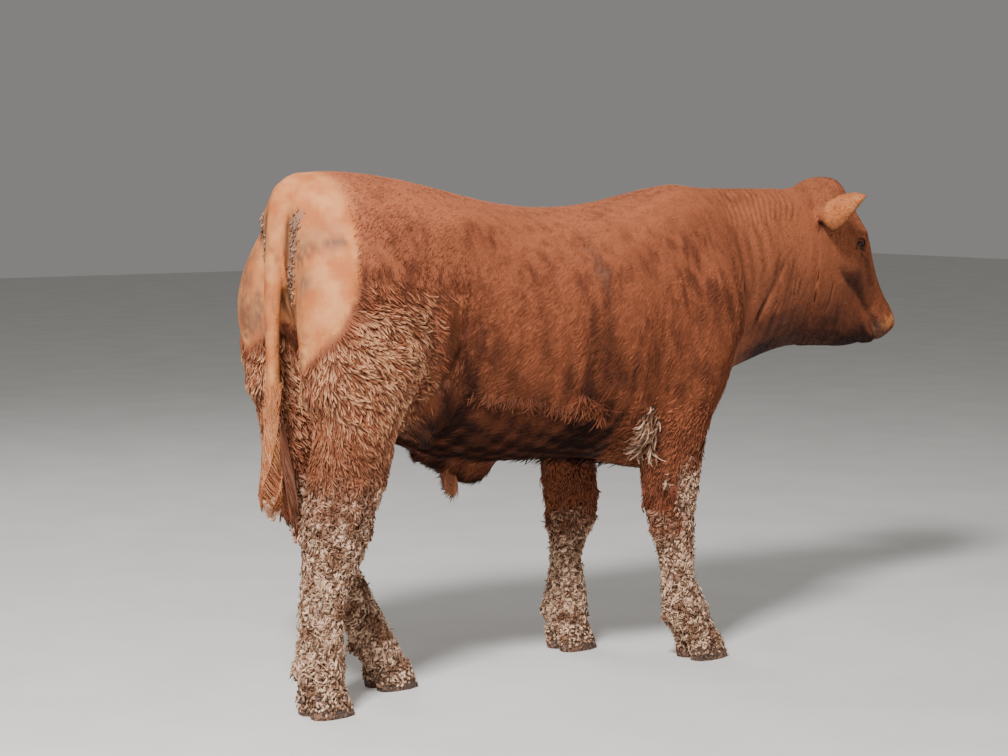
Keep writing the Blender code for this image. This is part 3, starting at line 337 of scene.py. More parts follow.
face = copy_of("face", ["head", "eye_right", "eye_left"])
apply(face, "REMESH", mode="VOXEL", voxel_size=FACE_STEP)
apply(face, "SMOOTH", iterations=3, factor=0.5)
face_points = model_points(face.data)
face_normals = point_normals(face.data)
tuck = FACE_DEPTH + SEAM_TUCK * ramp(face_points[:, 0], SEAM_X + 0.008, SEAM_X - 0.024)
wrinkles = grooves_at(face_points, HEAD_GROOVES, FACE_GROOVE_BEND)
for side in (1, -1):
    corners = [head_point(along, side * aside, deep) for along, aside, deep in MOUTH_LINE]
    for near, far in zip(corners, corners[1:]):
        wrinkles += groove(face_points, near, far, MOUTH_WIDTH, MOUTH_DEPTH)
    ends = [head_point(along, side * aside, deep) for along, aside, deep in NOSTRIL_LINE]
    wrinkles += 1.4 * groove(face_points, *ends, NOSTRIL_WIDTH, NOSTRIL_DEPTH)
face_points = face_points - face_normals * (tuck + wrinkles)[:, None]
for side in (1, -1):
    face_points = carve_eye(face_points, side)
set_points(face.data, face_points)
thin_out(face, FACE_TRIANGLES)

# The ears' skin is a smooth leaf-shaped cup on each side, its root in the head. Then ears, head and
# body become one skin: they are united, and the joints between them are smoothed.
EAR_ROOT = 0.016
SEAM_GRAIN = 0.0009
JOINT_ROUNDS, BODY_ROUNDS = 26, 4
ears = copy_of("ears", ["ear_right", "ear_left"])
apply(ears, "SUBSURF", levels=1, render_levels=1)
apply(ears, "SMOOTH", iterations=2, factor=0.4)
ear_points = model_points(ears.data)
ear_left = head_place(ear_points)[1]
inward = -np.sign(ear_left) * EAR_ROOT * ramp(np.abs(ear_left), 0.100, 0.078)
set_points(ears.data, ear_points + inward[:, None] * np.array(HEAD_LEFT))
for whole, added in ((face, ears), (hide, face)):
    apply(whole, "BOOLEAN", operation="UNION", solver="MANIFOLD", object=added)
    bpy.data.objects.remove(added)
only(hide)
bpy.ops.object.mode_set(mode="EDIT")
bpy.ops.mesh.select_all(action="SELECT")
bpy.ops.mesh.remove_doubles(threshold=SEAM_GRAIN)
bpy.ops.mesh.select_all(action="SELECT")
bpy.ops.mesh.normals_make_consistent(inside=False)
bpy.ops.mesh.separate(type="LOOSE")
bpy.ops.object.mode_set(mode="OBJECT")
loose = list(bpy.context.selected_objects)
hide = max(loose, key=lambda part: len(part.data.vertices))
for part in loose:
    if part is not hide:
        bpy.data.objects.remove(part)
hide.name = "hide"
hide_points = model_points(hide.data)
x, y, z = hide_points.T
along, left, deep = head_place(hide_points)
by_seam = ramp(np.abs(x - SEAM_X), 0.085, 0.065) * (np.abs(left) < 0.13)
ear_root = ramp(np.abs(np.abs(left) - 0.088), 0.020, 0.012) * (along < 0.075) * (deep > 0.06)
buttock = ramp(x, 0.06, 0.03) * ramp(np.abs(z - 0.81), 0.11, 0.08)
joints = np.maximum.reduce([by_seam, ear_root, buttock])
on_body = (x < 1.25) & (z > 0.55)
for name, rounds, share in (("joints", JOINT_ROUNDS, joints), ("body", BODY_ROUNDS, on_body)):
    chosen = hide.vertex_groups.new(name=name)
    chosen.add([int(index) for index in np.nonzero(share > 0.3)[0]], 1.0, "REPLACE")
    apply(hide, "SMOOTH", iterations=rounds, factor=0.5, vertex_group=name)
hide.vertex_groups.clear()
only(hide)
bpy.ops.object.shade_smooth()

# The markings are masks from 0 to 1 that hide and coat share: caked mud, wet clotted hair with a
# painted glint at its tips, the tan short hair of the buttocks, pale hair with a painted highlight on
# the back, dark hair with painted shade below, in creases and folds and beside the tail, grey dirt,
# and the bare nose. Each one is worked out from a point's place on the animal and from the way its
# surface faces.
EAR_HOLLOW = (1.663, -0.061, 1.138)
HOLLOW_REACH = 0.014
MASKS = ("mud", "wet", "tan", "pale", "dark", "stain", "nose")
# the middle line of each leg, and the heights where mud starts and where it is complete
LEGS = {
    "hind_right": ((0.010, -0.130, 0.05), (0.09, -0.140, 0.80), 0.60, 0.40),
    "hind_left": ((0.296, 0.035, 0.05), (0.15, 0.120, 0.80), 0.60, 0.40),
    "fore_right": ((1.150, -0.138, 0.05), (1.00, -0.160, 0.75), 0.44, 0.28),
    "fore_left": ((0.947, 0.150, 0.05), (0.93, 0.150, 0.75), 0.42, 0.26),
}
LEG_TOP = 0.70
LEG_REACH = 0.17
# the line where the tan buttocks end: heights, and the place ahead at each
BUTTOCK_HEIGHTS = (0.735, 0.820, 0.880, 0.927, 1.018, 1.154, 1.212, 1.258)
BUTTOCK_EDGES = (-0.065, -0.045, -0.019, 0.019, 0.065, 0.100, 0.110, 0.120)


def leg_of(points):
    """The leg that each point is on, as its place in LEGS, or -1 on the rest of the animal."""
    x, y, z = points.T
    away = []
    for foot, top, _, _ in LEGS.values():
        foot, top = np.array(foot), np.array(top)
        middle_line = foot + (top - foot) * ((z - foot[2]) / (top - foot)[2])[:, None]
        away.append(np.hypot(x - middle_line[:, 0], y - middle_line[:, 1]))
    nearest = np.argmin(away, axis=0)
    trunk = (z > LEG_TOP) | (np.min(away, axis=0) > LEG_REACH)
    trunk |= (z > 0.50) & (np.abs(y) < 0.052) & (x > 0.10)
    return np.where(trunk, -1, nearest)


def leg_share(points):
    """Rises from 0 on the trunk to 1 on the legs, where the hair turns woolly."""
    x, y, z = points.T
    column = np.maximum(ramp(x, 0.36, 0.26), ramp(x, 0.80, 0.90)) * ramp(np.abs(y), 0.045, 0.075)
    return column * ramp(z + 0.02 * wave(points, 0.05, 24), 0.74, 0.60)


def leg_mud(points, outward, legs, ragged):
    """Mud: up each leg as far as its own ragged line, up the front of the forelegs, on the elbows."""
    x, y, z = points.T
    mud = np.zeros(len(points))
    for index, (_, _, clean, caked) in enumerate(LEGS.values()):
        mud = np.where(legs == index, ramp(z + ragged, clean, caked), mud)
    strip = ramp(outward[:, 0] + ragged, -0.12, 0.10) * ramp(outward[:, 0], 0.90, 0.65)
    strip = strip * ramp(outward[:, 1] * np.sign(y), 0.3, 0.6)
    strip = strip * (legs >= 2) * ramp(z + ragged, 0.57, 0.50)
    elbow = bell(x, 0.950, 0.034) * bell(z, 0.625, 0.050) * (np.abs(y) > 0.12)
    return np.maximum.reduce([mud, 0.9 * strip, 0.8 * ramp(elbow, 0.35, 0.6)])


def dark_hair_and_painted_shade(points, outward, legs, creases):
    """Painted shade below, on the throat, in creases, behind the elbow and before the thigh; darker low
    on the ribs; dark hair in rows on the side and on the legs.
    """
    x, y, z = points.T
    # painted shade on the surfaces that face down
    under = ramp(outward[:, 2], -0.25, -0.8) * ramp(x, 1.55, 1.45) * (legs < 0)
    # darker low on the ribs, and painted shade on the belly's floor
    lower = ramp(z, 0.94, 0.66) * ramp(x, 0.22, 0.34) * ramp(x, 0.96, 0.84)
    lower = np.maximum(lower, 1.4 * ramp(z, 0.645, 0.590) * ramp(x, 0.30, 0.40) * (legs < 0))
    # painted shade under the jaw, where the throat faces down
    throat = ramp(outward[:, 2], 0.1, -0.6) * ramp(x, 1.35, 1.50)
    rows = wave(points * (1, 1, 0.35), 0.045, 23) * ramp(x, 1.6, 1.4)
    # painted shade in the folds behind the elbow and before the thigh
    behind_elbow = bell(x, 0.755, 0.055) * ramp(z, 1.02, 0.88) * ramp(np.abs(y), 0.12, 0.18)
    before_thigh = bell(x, 0.385, 0.060) * ramp(z, 0.99, 0.84) * ramp(np.abs(y), 0.10, 0.16)
    folds = 0.45 * behind_elbow + 0.55 * before_thigh
    dark = 0.45 * under + 0.35 * lower + 0.85 * throat + 0.32 * rows + creases + folds
    return np.maximum(np.clip(dark, 0, 1), 0.30 * (legs >= 0) * ramp(z, 0.70, 0.60))


def dirt(points, tan, tail):
    """Grey dirt: a streak on the ribs, a spot and smears on the buttocks, and the dung by the tail."""
    x, y, z = points.T
    aside = np.abs(y)
    streak = bell(x, 0.770 + 0.15 * (1.05 - z), 0.014) * bell(z, 1.05, 0.06) * (y < 0)
    streak = streak * ramp(wave(points, 0.018, 25), -0.4, 0.5)
    spot = bell(z, 1.125, 0.016) * bell(y, -0.168, 0.022) * (x < 0.06)
    cleft = bell(aside, 0.062 + 0.2 * (z - 1.1), 0.018) * ramp(z, 0.92, 1.00) * ramp(z, 1.23, 1.18)
    cleft = cleft * (tail < 0.3) * (0.7 + 0.3 * ramp(wave(points, 0.03, 27), -0.3, 0.3))
    dung = ramp(cleft, 0.30, 0.75) * tan
    smears = bell(z, 1.03, 0.030) * bell(aside, 0.135, 0.035)
    smears += bell(z, 0.935, 0.050) * bell(aside, 0.100, 0.030)
    smears = 0.9 * smears * (0.50 + 0.50 * ramp(wave(points, 0.016, 30), -0.4, 0.4))
    grime = ramp(wave(points, 0.12, 26) + 0.6 * wave(points, 0.022, 28), -0.4, 0.8)
    grime = 0.80 * grime * ramp(z, 1.20, 1.08) * ramp(aside, 0.19, 0.14)
    stain = [streak, 0.9 * spot, 0.9 * dung, tan * np.maximum(grime, smears)]
    stain = np.clip(np.maximum.reduce(stain), 0, 1) * (1 - tail)
    return stain + 0.45 * tail * ramp(wave(points, 0.022, 36), 0.0, 0.8), dung


def markings(points, outward):
    """Each mask's value at each point."""
    x, y, z = points.T
    along, left, deep = head_place(points)
    ragged = 0.045 * wave(points, 0.06, 21) + 0.026 * wave(points, 0.022, 22)
    legs = leg_of(points)
    mud = leg_mud(points, outward, legs, ragged)
    edge = np.interp(z, BUTTOCK_HEIGHTS, BUTTOCK_EDGES)
    inner_edge = edge - 0.012 - 0.05 * ramp(z, 1.15, 1.25)
    tan = ramp(x, edge + 0.1 * ragged, inner_edge) * ramp(z, 0.735, 0.775)
    thigh = ramp(x + ragged, 0.31, 0.20) * ramp(z + 0.7 * ragged, 1.05, 0.90) * ramp(z, 0.42, 0.52)
    wet = thigh * ramp(x, edge - 0.004, edge + 0.012) * (np.abs(y) > 0.05)
    wet = wet * (0.55 + 0.45 * ramp(np.abs(outward[:, 1]), 0.25, 0.55))
    wet = wet * (1 - 0.7 * ramp(z, 0.80, 0.58)) * (1 - mud)
    # painted highlight: lighter where the back faces up; lighter too on the croup and the neck
    back = ramp(outward[:, 2], 0.30, 0.90) * ramp(z, 1.0, 1.12)
    croup = ramp(x, 0.24, 0.06) * ramp(z, 1.16, 1.24)
    neck = ramp(x, 1.25, 1.40) * ramp(z, 0.88, 0.98)
    pale = np.maximum.reduce([0.40 * back, 0.8 * croup, 0.40 * neck])
    tail = ramp(x, -0.006, -0.022) * (np.abs(y) < 0.030) * ramp(z, 1.17, 1.12)
    ears = ramp(np.abs(left), 0.095, 0.12) * (along < 0.09) * (x > 1.6)
    muzzle = ramp(along + 0.012 * wave(points, 0.02, 29), 0.440, 0.468)
    chin = ramp(along, 0.36, 0.42) * ramp(deep, 0.108, 0.118)
    mouth = bell(deep, 0.112, 0.006) * ramp(along, 0.40, 0.44)
    lip = ramp(along, 0.425, 0.450) * ramp(deep, 0.070, 0.088) * (1 - chin)
    nose = ramp(along, 0.480, 0.494) * ramp(deep, 0.084, 0.072) * ramp(np.abs(left), 0.056, 0.046)
    eye_rim = bell(np.hypot(along - EYE_ALONG, deep - EYE_DEEP), 0, 0.024)
    eye_rim = eye_rim * (np.abs(left) > 0.05) * (x > 1.6)
    ear_hollow = bell(np.linalg.norm(points - np.array(EAR_HOLLOW), axis=1), 0, HOLLOW_REACH)
    # painted shade in the creases: round the eye, along the mouth, under the chin, in the ear's hollow
    # and in the grooves of neck and head
    creases = 0.7 * eye_rim + 0.6 * mouth + 0.25 * chin + 0.8 * ear_hollow
    creases += np.clip(70 * grooves_at(points, NECK_GROOVES + HEAD_GROOVES, GROOVE_BEND), 0, 0.6)
    stain, dung = dirt(points, tan, tail)
    # painted shadow of the tail: a dark line beside it on the tan buttocks
    by_tail = bell(np.abs(y), 0.040 + 0.2 * (z - 1.1), 0.012) * ramp(z, 0.86, 0.96) * ramp(z, 1.22, 1.18)
    dark = dark_hair_and_painted_shade(points, outward, legs, creases) * (1 - tan)
    dark = np.maximum(dark, 0.8 * by_tail * tan * (1 - tail))
    mud = np.maximum(mud, 0.30 * dung)
    tan = np.maximum.reduce([tan, tail, 0.75 * ears, 0.8 * muzzle * (1 - mouth) * (1 - chin)])
    stain = np.maximum(stain, 0.40 * lip)
    return dict(zip(MASKS, (mud, wet, tan, pale, dark, stain, nose)))


def set_masks(mesh, masks):
    """Stores each mask's values with a mesh's points."""
    for name, values in masks.items():
        layer = mesh.attributes.new(name, "FLOAT", "POINT")
        layer.data.foreach_set("value", np.ascontiguousarray(values, dtype=np.float32))


set_masks(hide.data, markings(model_points(hide.data), point_normals(hide.data)))

# The colours of hide and coat, and how the masks lay them over each other. The hide's material adds
# the fine relief of the hair that lies between the tufts.


def screen(red, green, blue):
    """A colour for the shader nodes from its screen values of 0 to 255."""
    shares = np.array((red, green, blue)) / 255
    linear = np.where(shares <= 0.04045, shares / 12.92, ((shares + 0.055) / 1.055) ** 2.4)
    return (*linear.tolist(), 1)


RED_DEEP = screen(84, 40, 27)
RED = screen(144, 80, 53)
RED_LIGHT = screen(178, 106, 72)
# dark hair, and the colour of the painted shade
DARK_HAIR_AND_SHADE = screen(46, 22, 16)
# pale hair, and the colour of the painted highlight on the back
PALE_HAIR_AND_HIGHLIGHT = screen(186, 110, 74)
TAN_HAIR = screen(186, 104, 56)
TAN_PALE = screen(214, 142, 88)
WET_ROOT = screen(100, 52, 35)
WET_TIP = screen(216, 160, 120)
MUD_PALE = screen(220, 184, 156)
MUD_BROWN = screen(144, 104, 80)
MUD_DARK = screen(50, 34, 27)
STAIN_GREY = screen(108, 80, 66)
NOSE_SKIN = screen(190, 130, 104)
# how bright the darkest and the lightest tufts are
DARKEST, LIGHTEST = 0.66, 1.32
# the hide's own place between root and tip and its shade, and how much hair shines
HIDE_TIP, HIDE_SHADE, HAIR_SHINE = 0.30, 0.45, 0.16


def add(tree, kind, inputs=(), **settings):
    """A node of this kind with these settings, and for each input a value or an output socket."""
    node = tree.nodes.new(kind)
    for name, value in settings.items():
        setattr(node, name, value)
    for name, value in dict(inputs).items():
        if isinstance(value, bpy.types.NodeSocket):
            tree.links.new(value, node.inputs[name])
        else:
            node.inputs[name].default_value = value
    return node


def blend_colours(tree, share, first, second):
    """A mix of two colours, each one a colour or an output socket, by the output socket share."""
    inputs = {"Factor": share, 6: first, 7: second}
    return add(tree, "ShaderNodeMix", inputs, data_type="RGBA").outputs[2]


def rise_share(tree, value, low, high):
    """A mask that rises smoothly from 0 to 1 as this output socket goes from low to high."""
    inputs = {"Value": value, "From Min": low, "From Max": high}
    return add(tree, "ShaderNodeMapRange", inputs, interpolation_type="SMOOTHSTEP").outputs["Result"]


def surface_place(tree):
    """The place of each point of the surface, as an output socket."""
    return add(tree, "ShaderNodeTexCoord").outputs["Object"]


def stretched_place(tree, scale, turn=(0, 0, 0)):
    """The same place, scaled along each axis and turned, which draws a noise out into streaks."""
    inputs = {"Vector": surface_place(tree), "Scale": scale, "Rotation": turn}
    return add(tree, "ShaderNodeMapping", inputs).outputs["Vector"]


def noise(tree, place, scale, detail):
    """A smooth noise of this many grains to a metre."""
    inputs = {"Vector": place, "Scale": scale, "Detail": detail}
    return add(tree, "ShaderNodeTexNoise", inputs).outputs["Fac"]


def noise_share(tree, place, scale, low, high, detail=3):
    """A smooth noise turned into a mask that rises from 0 to 1 between two of its values."""
    return rise_share(tree, noise(tree, place, scale, detail), low, high)


def relief(tree, shader, height, strength, depth):
    """Lets an output socket's high values stand out of the surface by this depth."""
    bump = add(tree, "ShaderNodeBump", {"Height": height, "Strength": strength, "Distance": depth})
    tree.links.new(bump.outputs["Normal"], shader.inputs["Normal"])


def markings_group():
    """The coat's colour over the body: red streaks with painted shade at the roots, then each mask's own
    hair, dirt, mud, painted shade and painted highlight.
    """
    group = bpy.data.node_groups.new("Coat markings", "ShaderNodeTree")
    for name in MASKS + ("tip", "shade"):
        group.interface.new_socket(name, in_out="INPUT", socket_type="NodeSocketFloat")
    group.interface.new_socket("Colour", in_out="OUTPUT", socket_type="NodeSocketColor")
    masks = group.nodes.new("NodeGroupInput").outputs
    result = group.nodes.new("NodeGroupOutput")
    place = surface_place(group)
    patches = noise_share(group, place, 7, 0.38, 0.62)
    streaks = noise_share(group, stretched_place(group, (1, 1, 0.32)), 42, 0.38, 0.64)
    red = blend_colours(group, patches, RED, blend_colours(group, streaks, RED, RED_DEEP))
    # painted shade at the roots: each tuft is darker at its root and lighter towards its tip
    red = blend_colours(group, rise_share(group, masks["tip"], 0.0, 1.4), red, RED_LIGHT)
    bleached = noise_share(group, place, 16, 0.32, 0.68, detail=8)
    tan = blend_colours(group, bleached, TAN_HAIR, TAN_PALE)
    # wet locks: dark at the root and pale at the tip, a painted glint
    wet = blend_colours(group, rise_share(group, masks["tip"], 0.05, 0.85), WET_ROOT, WET_TIP)
    some = rise_share(group, masks["shade"], 0.24, 0.56)
    wet = blend_colours(group, some, red, wet)
    mud = blend_colours(group, some, MUD_BROWN, MUD_PALE)
    mud = blend_colours(group, noise_share(group, place, 24, 0.46, 0.66, detail=6), mud, MUD_BROWN)
    # painted shade in the gaps: mud is darker at each clump's root
    mud = blend_colours(group, rise_share(group, masks["tip"], -0.1, 0.45), MUD_DARK, mud)
    colour = red
    for mask, over in (("pale", PALE_HAIR_AND_HIGHLIGHT), ("tan", tan), ("dark", DARK_HAIR_AND_SHADE), ("wet", wet),
                       ("stain", STAIN_GREY), ("mud", mud), ("nose", NOSE_SKIN)):
        colour = blend_colours(group, masks[mask], colour, over)
    level = add(group, "ShaderNodeMapRange", {"Value": masks["shade"], "To Min": DARKEST,
                                              "To Max": LIGHTEST})
    bright = add(group, "ShaderNodeHueSaturation", {"Value": level.outputs["Result"], "Color": colour})
    group.links.new(bright.outputs["Color"], result.inputs["Colour"])
    return group


MARKINGS_GROUP = markings_group()


def new_material(name, roughness):
    """A material with its surface shader, returned with its tree."""
    material = bpy.data.materials.new(name)
    material.use_nodes = True
    shader = material.node_tree.nodes["Principled BSDF"]
    shader.inputs["Roughness"].default_value = roughness
    return material, material.node_tree, shader


def marked_material(name, roughness, has_tufts):
    """A material in the animal's markings: tufts have a tip and a shade of their own, the hide hasn't."""
    material, tree, shader = new_material(name, roughness)
    inputs = {"tip": HIDE_TIP, "shade": HIDE_SHADE}
    for mask in MASKS + (("tip", "shade") if has_tufts else ()):
        inputs[mask] = add(tree, "ShaderNodeAttribute", attribute_name=mask).outputs["Fac"]
    marks = add(tree, "ShaderNodeGroup", inputs, node_tree=MARKINGS_GROUP)
    tree.links.new(marks.outputs["Colour"], shader.inputs["Base Color"])
    shader.inputs["Specular IOR Level"].default_value = HAIR_SHINE
    return material, tree, shader


HAIR_SLANT = math.radians(38)
HAIRS_LONG, HAIRS_ACROSS = 70, 420
hide_material, hide_tree, hide_shader = marked_material("hide", 0.62, False)
hide_lie = stretched_place(hide_tree, (HAIRS_LONG, HAIRS_ACROSS, HAIRS_ACROSS), (0, HAIR_SLANT, 0))
relief(hide_tree, hide_shader, noise(hide_tree, hide_lie, 1, 4), 0.8, 0.0016)
hide.data.materials.clear()
hide.data.materials.append(hide_material)
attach(hide, "root")
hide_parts(*HIDE_NODES)

# The coat: thin solid tufts of hair that lie along the body from head to tail and down the legs. Each
# one is a tapered sliver with a ridge along it, rooted in the hide, and thousands of them make a piece.
PATCH = 0.003
PIECE_TRIANGLES = 196000
POOL_DENSITY = 120000
FLOOR_GAP = 0.004


def surface_pool(mesh, density, seed):
    """Places spread evenly over a mesh, so many to a square metre, with the outward direction at each."""
    mesh.calc_loop_triangles()
    corners = np.empty(len(mesh.loop_triangles) * 3, dtype=np.int32)
    mesh.loop_triangles.foreach_get("vertices", corners)
    corners = corners.reshape(-1, 3)
    points, normals = model_points(mesh), point_normals(mesh)
    a, b, c = (points[corners[:, index]] for index in range(3))
    areas = np.linalg.norm(np.cross(b - a, c - a), axis=1) / 2
    draw = np.random.default_rng(seed)
    chosen = draw.choice(len(corners), size=int(areas.sum() * density), p=areas / areas.sum())
    share = draw.random((2, len(chosen)))
    folded = share.sum(axis=0) > 1
    share[:, folded] = 1 - share[:, folded]
    weights = np.stack([1 - share.sum(axis=0), share[0], share[1]], axis=1)
    places = np.einsum("ij,ijk->ik", weights, points[corners[chosen]])
    outward = np.einsum("ij,ijk->ik", weights, normals[corners[chosen]])
    return places, unit(outward)


def around(points, start, end):
    """The hide's own unwrap round a part's middle line: angle across, place along it upwards."""
    start, end = np.array(start), np.array(end)
    line = unit((end - start)[None])[0]
    aside = unit(np.cross(line, (0.31, 0.17, 0.93))[None])[0]
    over = np.cross(aside, line)
    offset = points - start
    angle = np.arctan2(offset @ over, offset @ aside) / (2 * math.pi) + 0.5
    along = (offset @ line) / np.linalg.norm(end - start)
    return np.clip(np.stack([angle, along], axis=1), 0, 1) * (1 - 4 * PATCH) + 2 * PATCH


def solid_from(name, points, triangles, corner_patches, masks):
    """A new object from arrays of points and triangles, with its bake patches and its masks."""
    mesh = bpy.data.meshes.new(name)
    mesh.vertices.add(len(points))
    mesh.loops.add(len(triangles) * 3)
    mesh.polygons.add(len(triangles))
    mesh.loops.foreach_set("vertex_index", triangles.ravel().astype(np.int32))
    mesh.polygons.foreach_set("loop_start", np.arange(0, len(triangles) * 3, 3, dtype=np.int32))
    mesh.vertices.foreach_set("co", (points + np.array(ORIGIN)).ravel())
    mesh.update(calc_edges=True)
    patches = mesh.uv_layers.new(name="OFBake")
    patches.uv.foreach_set("vector", corner_patches[triangles.ravel()].astype(np.float32).ravel())
    set_masks(mesh, masks)
    thing = bpy.data.objects.new(name, mesh)
    bpy.context.scene.collection.objects.link(thing)
    return thing


def sliver_triangles(stations):
    """The triangles of one tuft: stations of left, ridge and right points, then the tip."""
    tip = 3 * stations
    rows = [(0, 2, 1)]
    for station in range(stations - 1):
        left, ridge, right = 3 * station, 3 * station + 1, 3 * station + 2
        for near, beside in ((left, ridge), (ridge, right), (right, left)):
            rows.append((near, beside, beside + 3))
            rows.append((near, beside + 3, near + 3))
    last = tip - 3
    rows += [(last, last + 1, tip), (last + 1, last + 2, tip), (last + 2, last, tip)]
    return np.array(rows)


def slivers(name, paths, side, top, profile, width, thick, spacing, patches, masks, shade, finish):
    """Tufts along their own paths, each path's last point being the tip, in as many pieces as they need.
    side and top are the directions of each one's edge and ridge, and finish holds their material and a
    slot name that is not used."""
    count, stations = len(paths), len(spacing) - 1
    profile = np.array(profile)
    half = side[:, None] * (width[:, None] * profile)[:, :, None] / 2
    ridge = top[:, None] * (thick[:, None] * profile)[:, :, None]
    middle_line = paths[:, :-1]
    rows = np.stack([middle_line + half, middle_line + ridge, middle_line - half], axis=2)
    points = np.concatenate([rows.reshape(count, stations * 3, 3), paths[:, -1:]], axis=1)
    across = np.tile((-0.5, 0, 0.5), stations).tolist() + [0]
    upward = np.repeat(spacing[:-1], 3).tolist() + [1]
    local = np.stack([across, upward], axis=1) * PATCH
    corner_patches = patches[:, None] + local[None]
    one = sliver_triangles(stations)
    points_each = points.shape[1]
    pieces = max(1, math.ceil(count / (PIECE_TRIANGLES // len(one))))
    tips = np.tile(np.array(upward), count).reshape(count, points_each)
    made = []
    for index, chosen in enumerate(np.array_split(np.arange(count), pieces)):
        piece_name = name if pieces == 1 else f"{name}_{index + 1}"
        starts = (np.arange(len(chosen)) * points_each)[:, None, None]
        values = {mask: np.repeat(masks[mask][chosen], points_each) for mask in masks}
        values["tip"] = tips[chosen].ravel()
        values["shade"] = np.repeat(shade[chosen], points_each)
        corners = (one[None] + starts).reshape(-1, 3)
        piece = solid_from(piece_name, points[chosen].reshape(-1, 3), corners,
                           corner_patches[chosen].reshape(-1, 2), values)
        piece.data.materials.append(finish[0])
        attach(piece, "root")
        made.append(piece)
    return made


def turned(way, share, wanted):
    """The directions way, turned towards the wanted one by each point's share."""
    return way * (1 - share[:, None]) + np.asarray(wanted) * share[:, None]


def lie_of(points, outward):
    """Which way the hair lies at each point, along the surface."""
    x, _, z = points.T
    along, left, deep = head_place(points)
    way = np.tile((-0.78, 0.0, -0.62), (len(points), 1))
    way = turned(way, ramp(x, 1.15, 1.35), (-0.42, 0, -0.90))
    way = turned(way, ramp(outward[:, 2], -0.3, -0.8), (-0.9, 0, -0.2))
    on_thigh = ramp(x, 0.42, 0.28) * ramp(z, 1.14, 0.96) * ramp(np.abs(outward[:, 1]), 0.2, 0.5)
    slope = ramp(z, 0.62, 0.92)
    way = turned(way, on_thigh, np.stack([0.5 + 0.34 * slope, 0 * slope, -0.86 + 0.34 * slope], axis=1))
    way = turned(way, ramp(outward[:, 0], -0.35, -0.75) * ramp(x, 0.3, 0.1), (-0.1, 0, -1.0))
    way = turned(way, ramp(z, 0.64, 0.48) * (leg_of(points) >= 0), (-0.15, 0, -0.98))
    cheek = 0.25 * np.array(FACE_IN) - 0.2 * np.array(FACE_DOWN) - np.array((0.35, 0, 0.55))
    on_head = turned(np.tile(cheek, (len(points), 1)), ramp(deep, 0.07, 0.02), FACE_DOWN)
    ear = ramp(np.abs(left), 0.095, 0.11) * (along < 0.09)
    ear_tip = np.sign(left)[:, None] * np.array(HEAD_LEFT)
    on_head = turned(on_head, ear, ear_tip)
    way = turned(way, ramp(x, 1.58, 1.68), on_head)
    way = way + 0.17 * np.stack([wave(points, 0.05, seed) for seed in (31, 32, 33)], axis=1)
    way = way - outward * np.sum(way * outward, axis=1, keepdims=True)
    return unit(way)


ROOTS, OUTWARD = surface_pool(hide.data, POOL_DENSITY, 50)
POOL_MARKS = markings(ROOTS, OUTWARD)


def lay_tufts(name, density, seed, size, finish, axis, profile=(1.0,), spacing=(0, 1), rise=(0, 1.0),
              curl=0.0, spread=0.2, sink=0.0015, push=(0, 0, 0), pool=(ROOTS, OUTWARD), shades=0.16,
              worn=None):
    """Covers part of the hide with tufts. density is the tufts to a square metre at each pool place,
    and size their length, width, thickness and lift, as numbers or as functions of the roots. profile,
    spacing and rise say how wide, how far along and how high each station of a tuft is."""
    draw = np.random.default_rng(seed)
    chosen = np.nonzero(draw.random(len(pool[0])) < density / POOL_DENSITY)[0]
    roots, outward = pool[0][chosen], pool[1][chosen]
    count = len(roots)
    sizes = [value(roots, outward) if callable(value) else np.full(count, float(value))
             for value in size]
    length = sizes[0] * draw.uniform(0.70, 1.30, count)
    width = sizes[1] * draw.uniform(0.75, 1.30, count)
    thick = sizes[2] * draw.uniform(0.8, 1.2, count)
    lift = sizes[3] * draw.uniform(0.5, 1.5, count)
    lie = lie_of(roots, outward)
    side = np.cross(outward, lie)
    lie = unit(lie + side * draw.normal(scale=spread, size=(count, 1)) + np.array(push))
    lie = unit(lie - outward * np.sum(lie * outward, axis=1, keepdims=True))
    side = np.cross(outward, lie)
    roll = side + outward * draw.normal(scale=0.22, size=(count, 1))
    side = unit(roll - lie * np.sum(roll * lie, axis=1, keepdims=True))
    top = np.cross(lie, side)
    sway = (0.5 * draw.normal(scale=1.0, size=(count, 1)) + 1.1 * wave(roots, 0.05, 42)[:, None]) * curl
    path = np.empty((count, len(spacing), 3))
    for index, part in enumerate(spacing):
        forward = part * (1 - 0.3 * np.abs(sway) * part)
        path[:, index] = (roots - outward * sink + lie * (length[:, None] * forward)
                          + outward * (length * lift * rise[index])[:, None]
                          + side * (length[:, None] * sway * part * part))
    path[:, :, 2] = np.maximum(path[:, :, 2], FLOOR_GAP)
    masks = markings(roots, outward)
    for mask, value in (worn or {}).items():
        masks[mask] = np.full(count, float(value))
    shade = np.clip(0.5 + shades * draw.normal(size=count) + 0.10 * wave(roots, 0.03, 41), 0, 1)
    return slivers(name, path, side, top, profile, width, thick, spacing, around(roots, *axis), masks,
                   shade, finish)


TRUNK_AXIS = ((-0.06, 0, 0.93), (1.40, 0, 1.0))
NECK_AXIS = ((1.25, 0, 1.0), (1.72, 0.03, 1.08))
HEAD_AXIS = (tuple(head_point(-0.02, 0, 0.09)), tuple(head_point(HEAD_LENGTH, 0, 0.07)))
# tufts to a square metre
TRUNK_DENSITY, NECK_DENSITY, HEAD_DENSITY, THIGH_DENSITY = 54000, 60000, 90000, 25000
CLAW_TOP = 0.060

COAT_HAIR = (marked_material("coat", 0.60, True)[0], "red_coat")
mud_material, mud_tree, mud_shader = marked_material("muddy hair", 0.90, True)
relief(mud_tree, mud_shader, noise(mud_tree, surface_place(mud_tree), 260, 5), 0.9, 0.003)
MUDDY_HAIR = (mud_material, "muddy_hair")

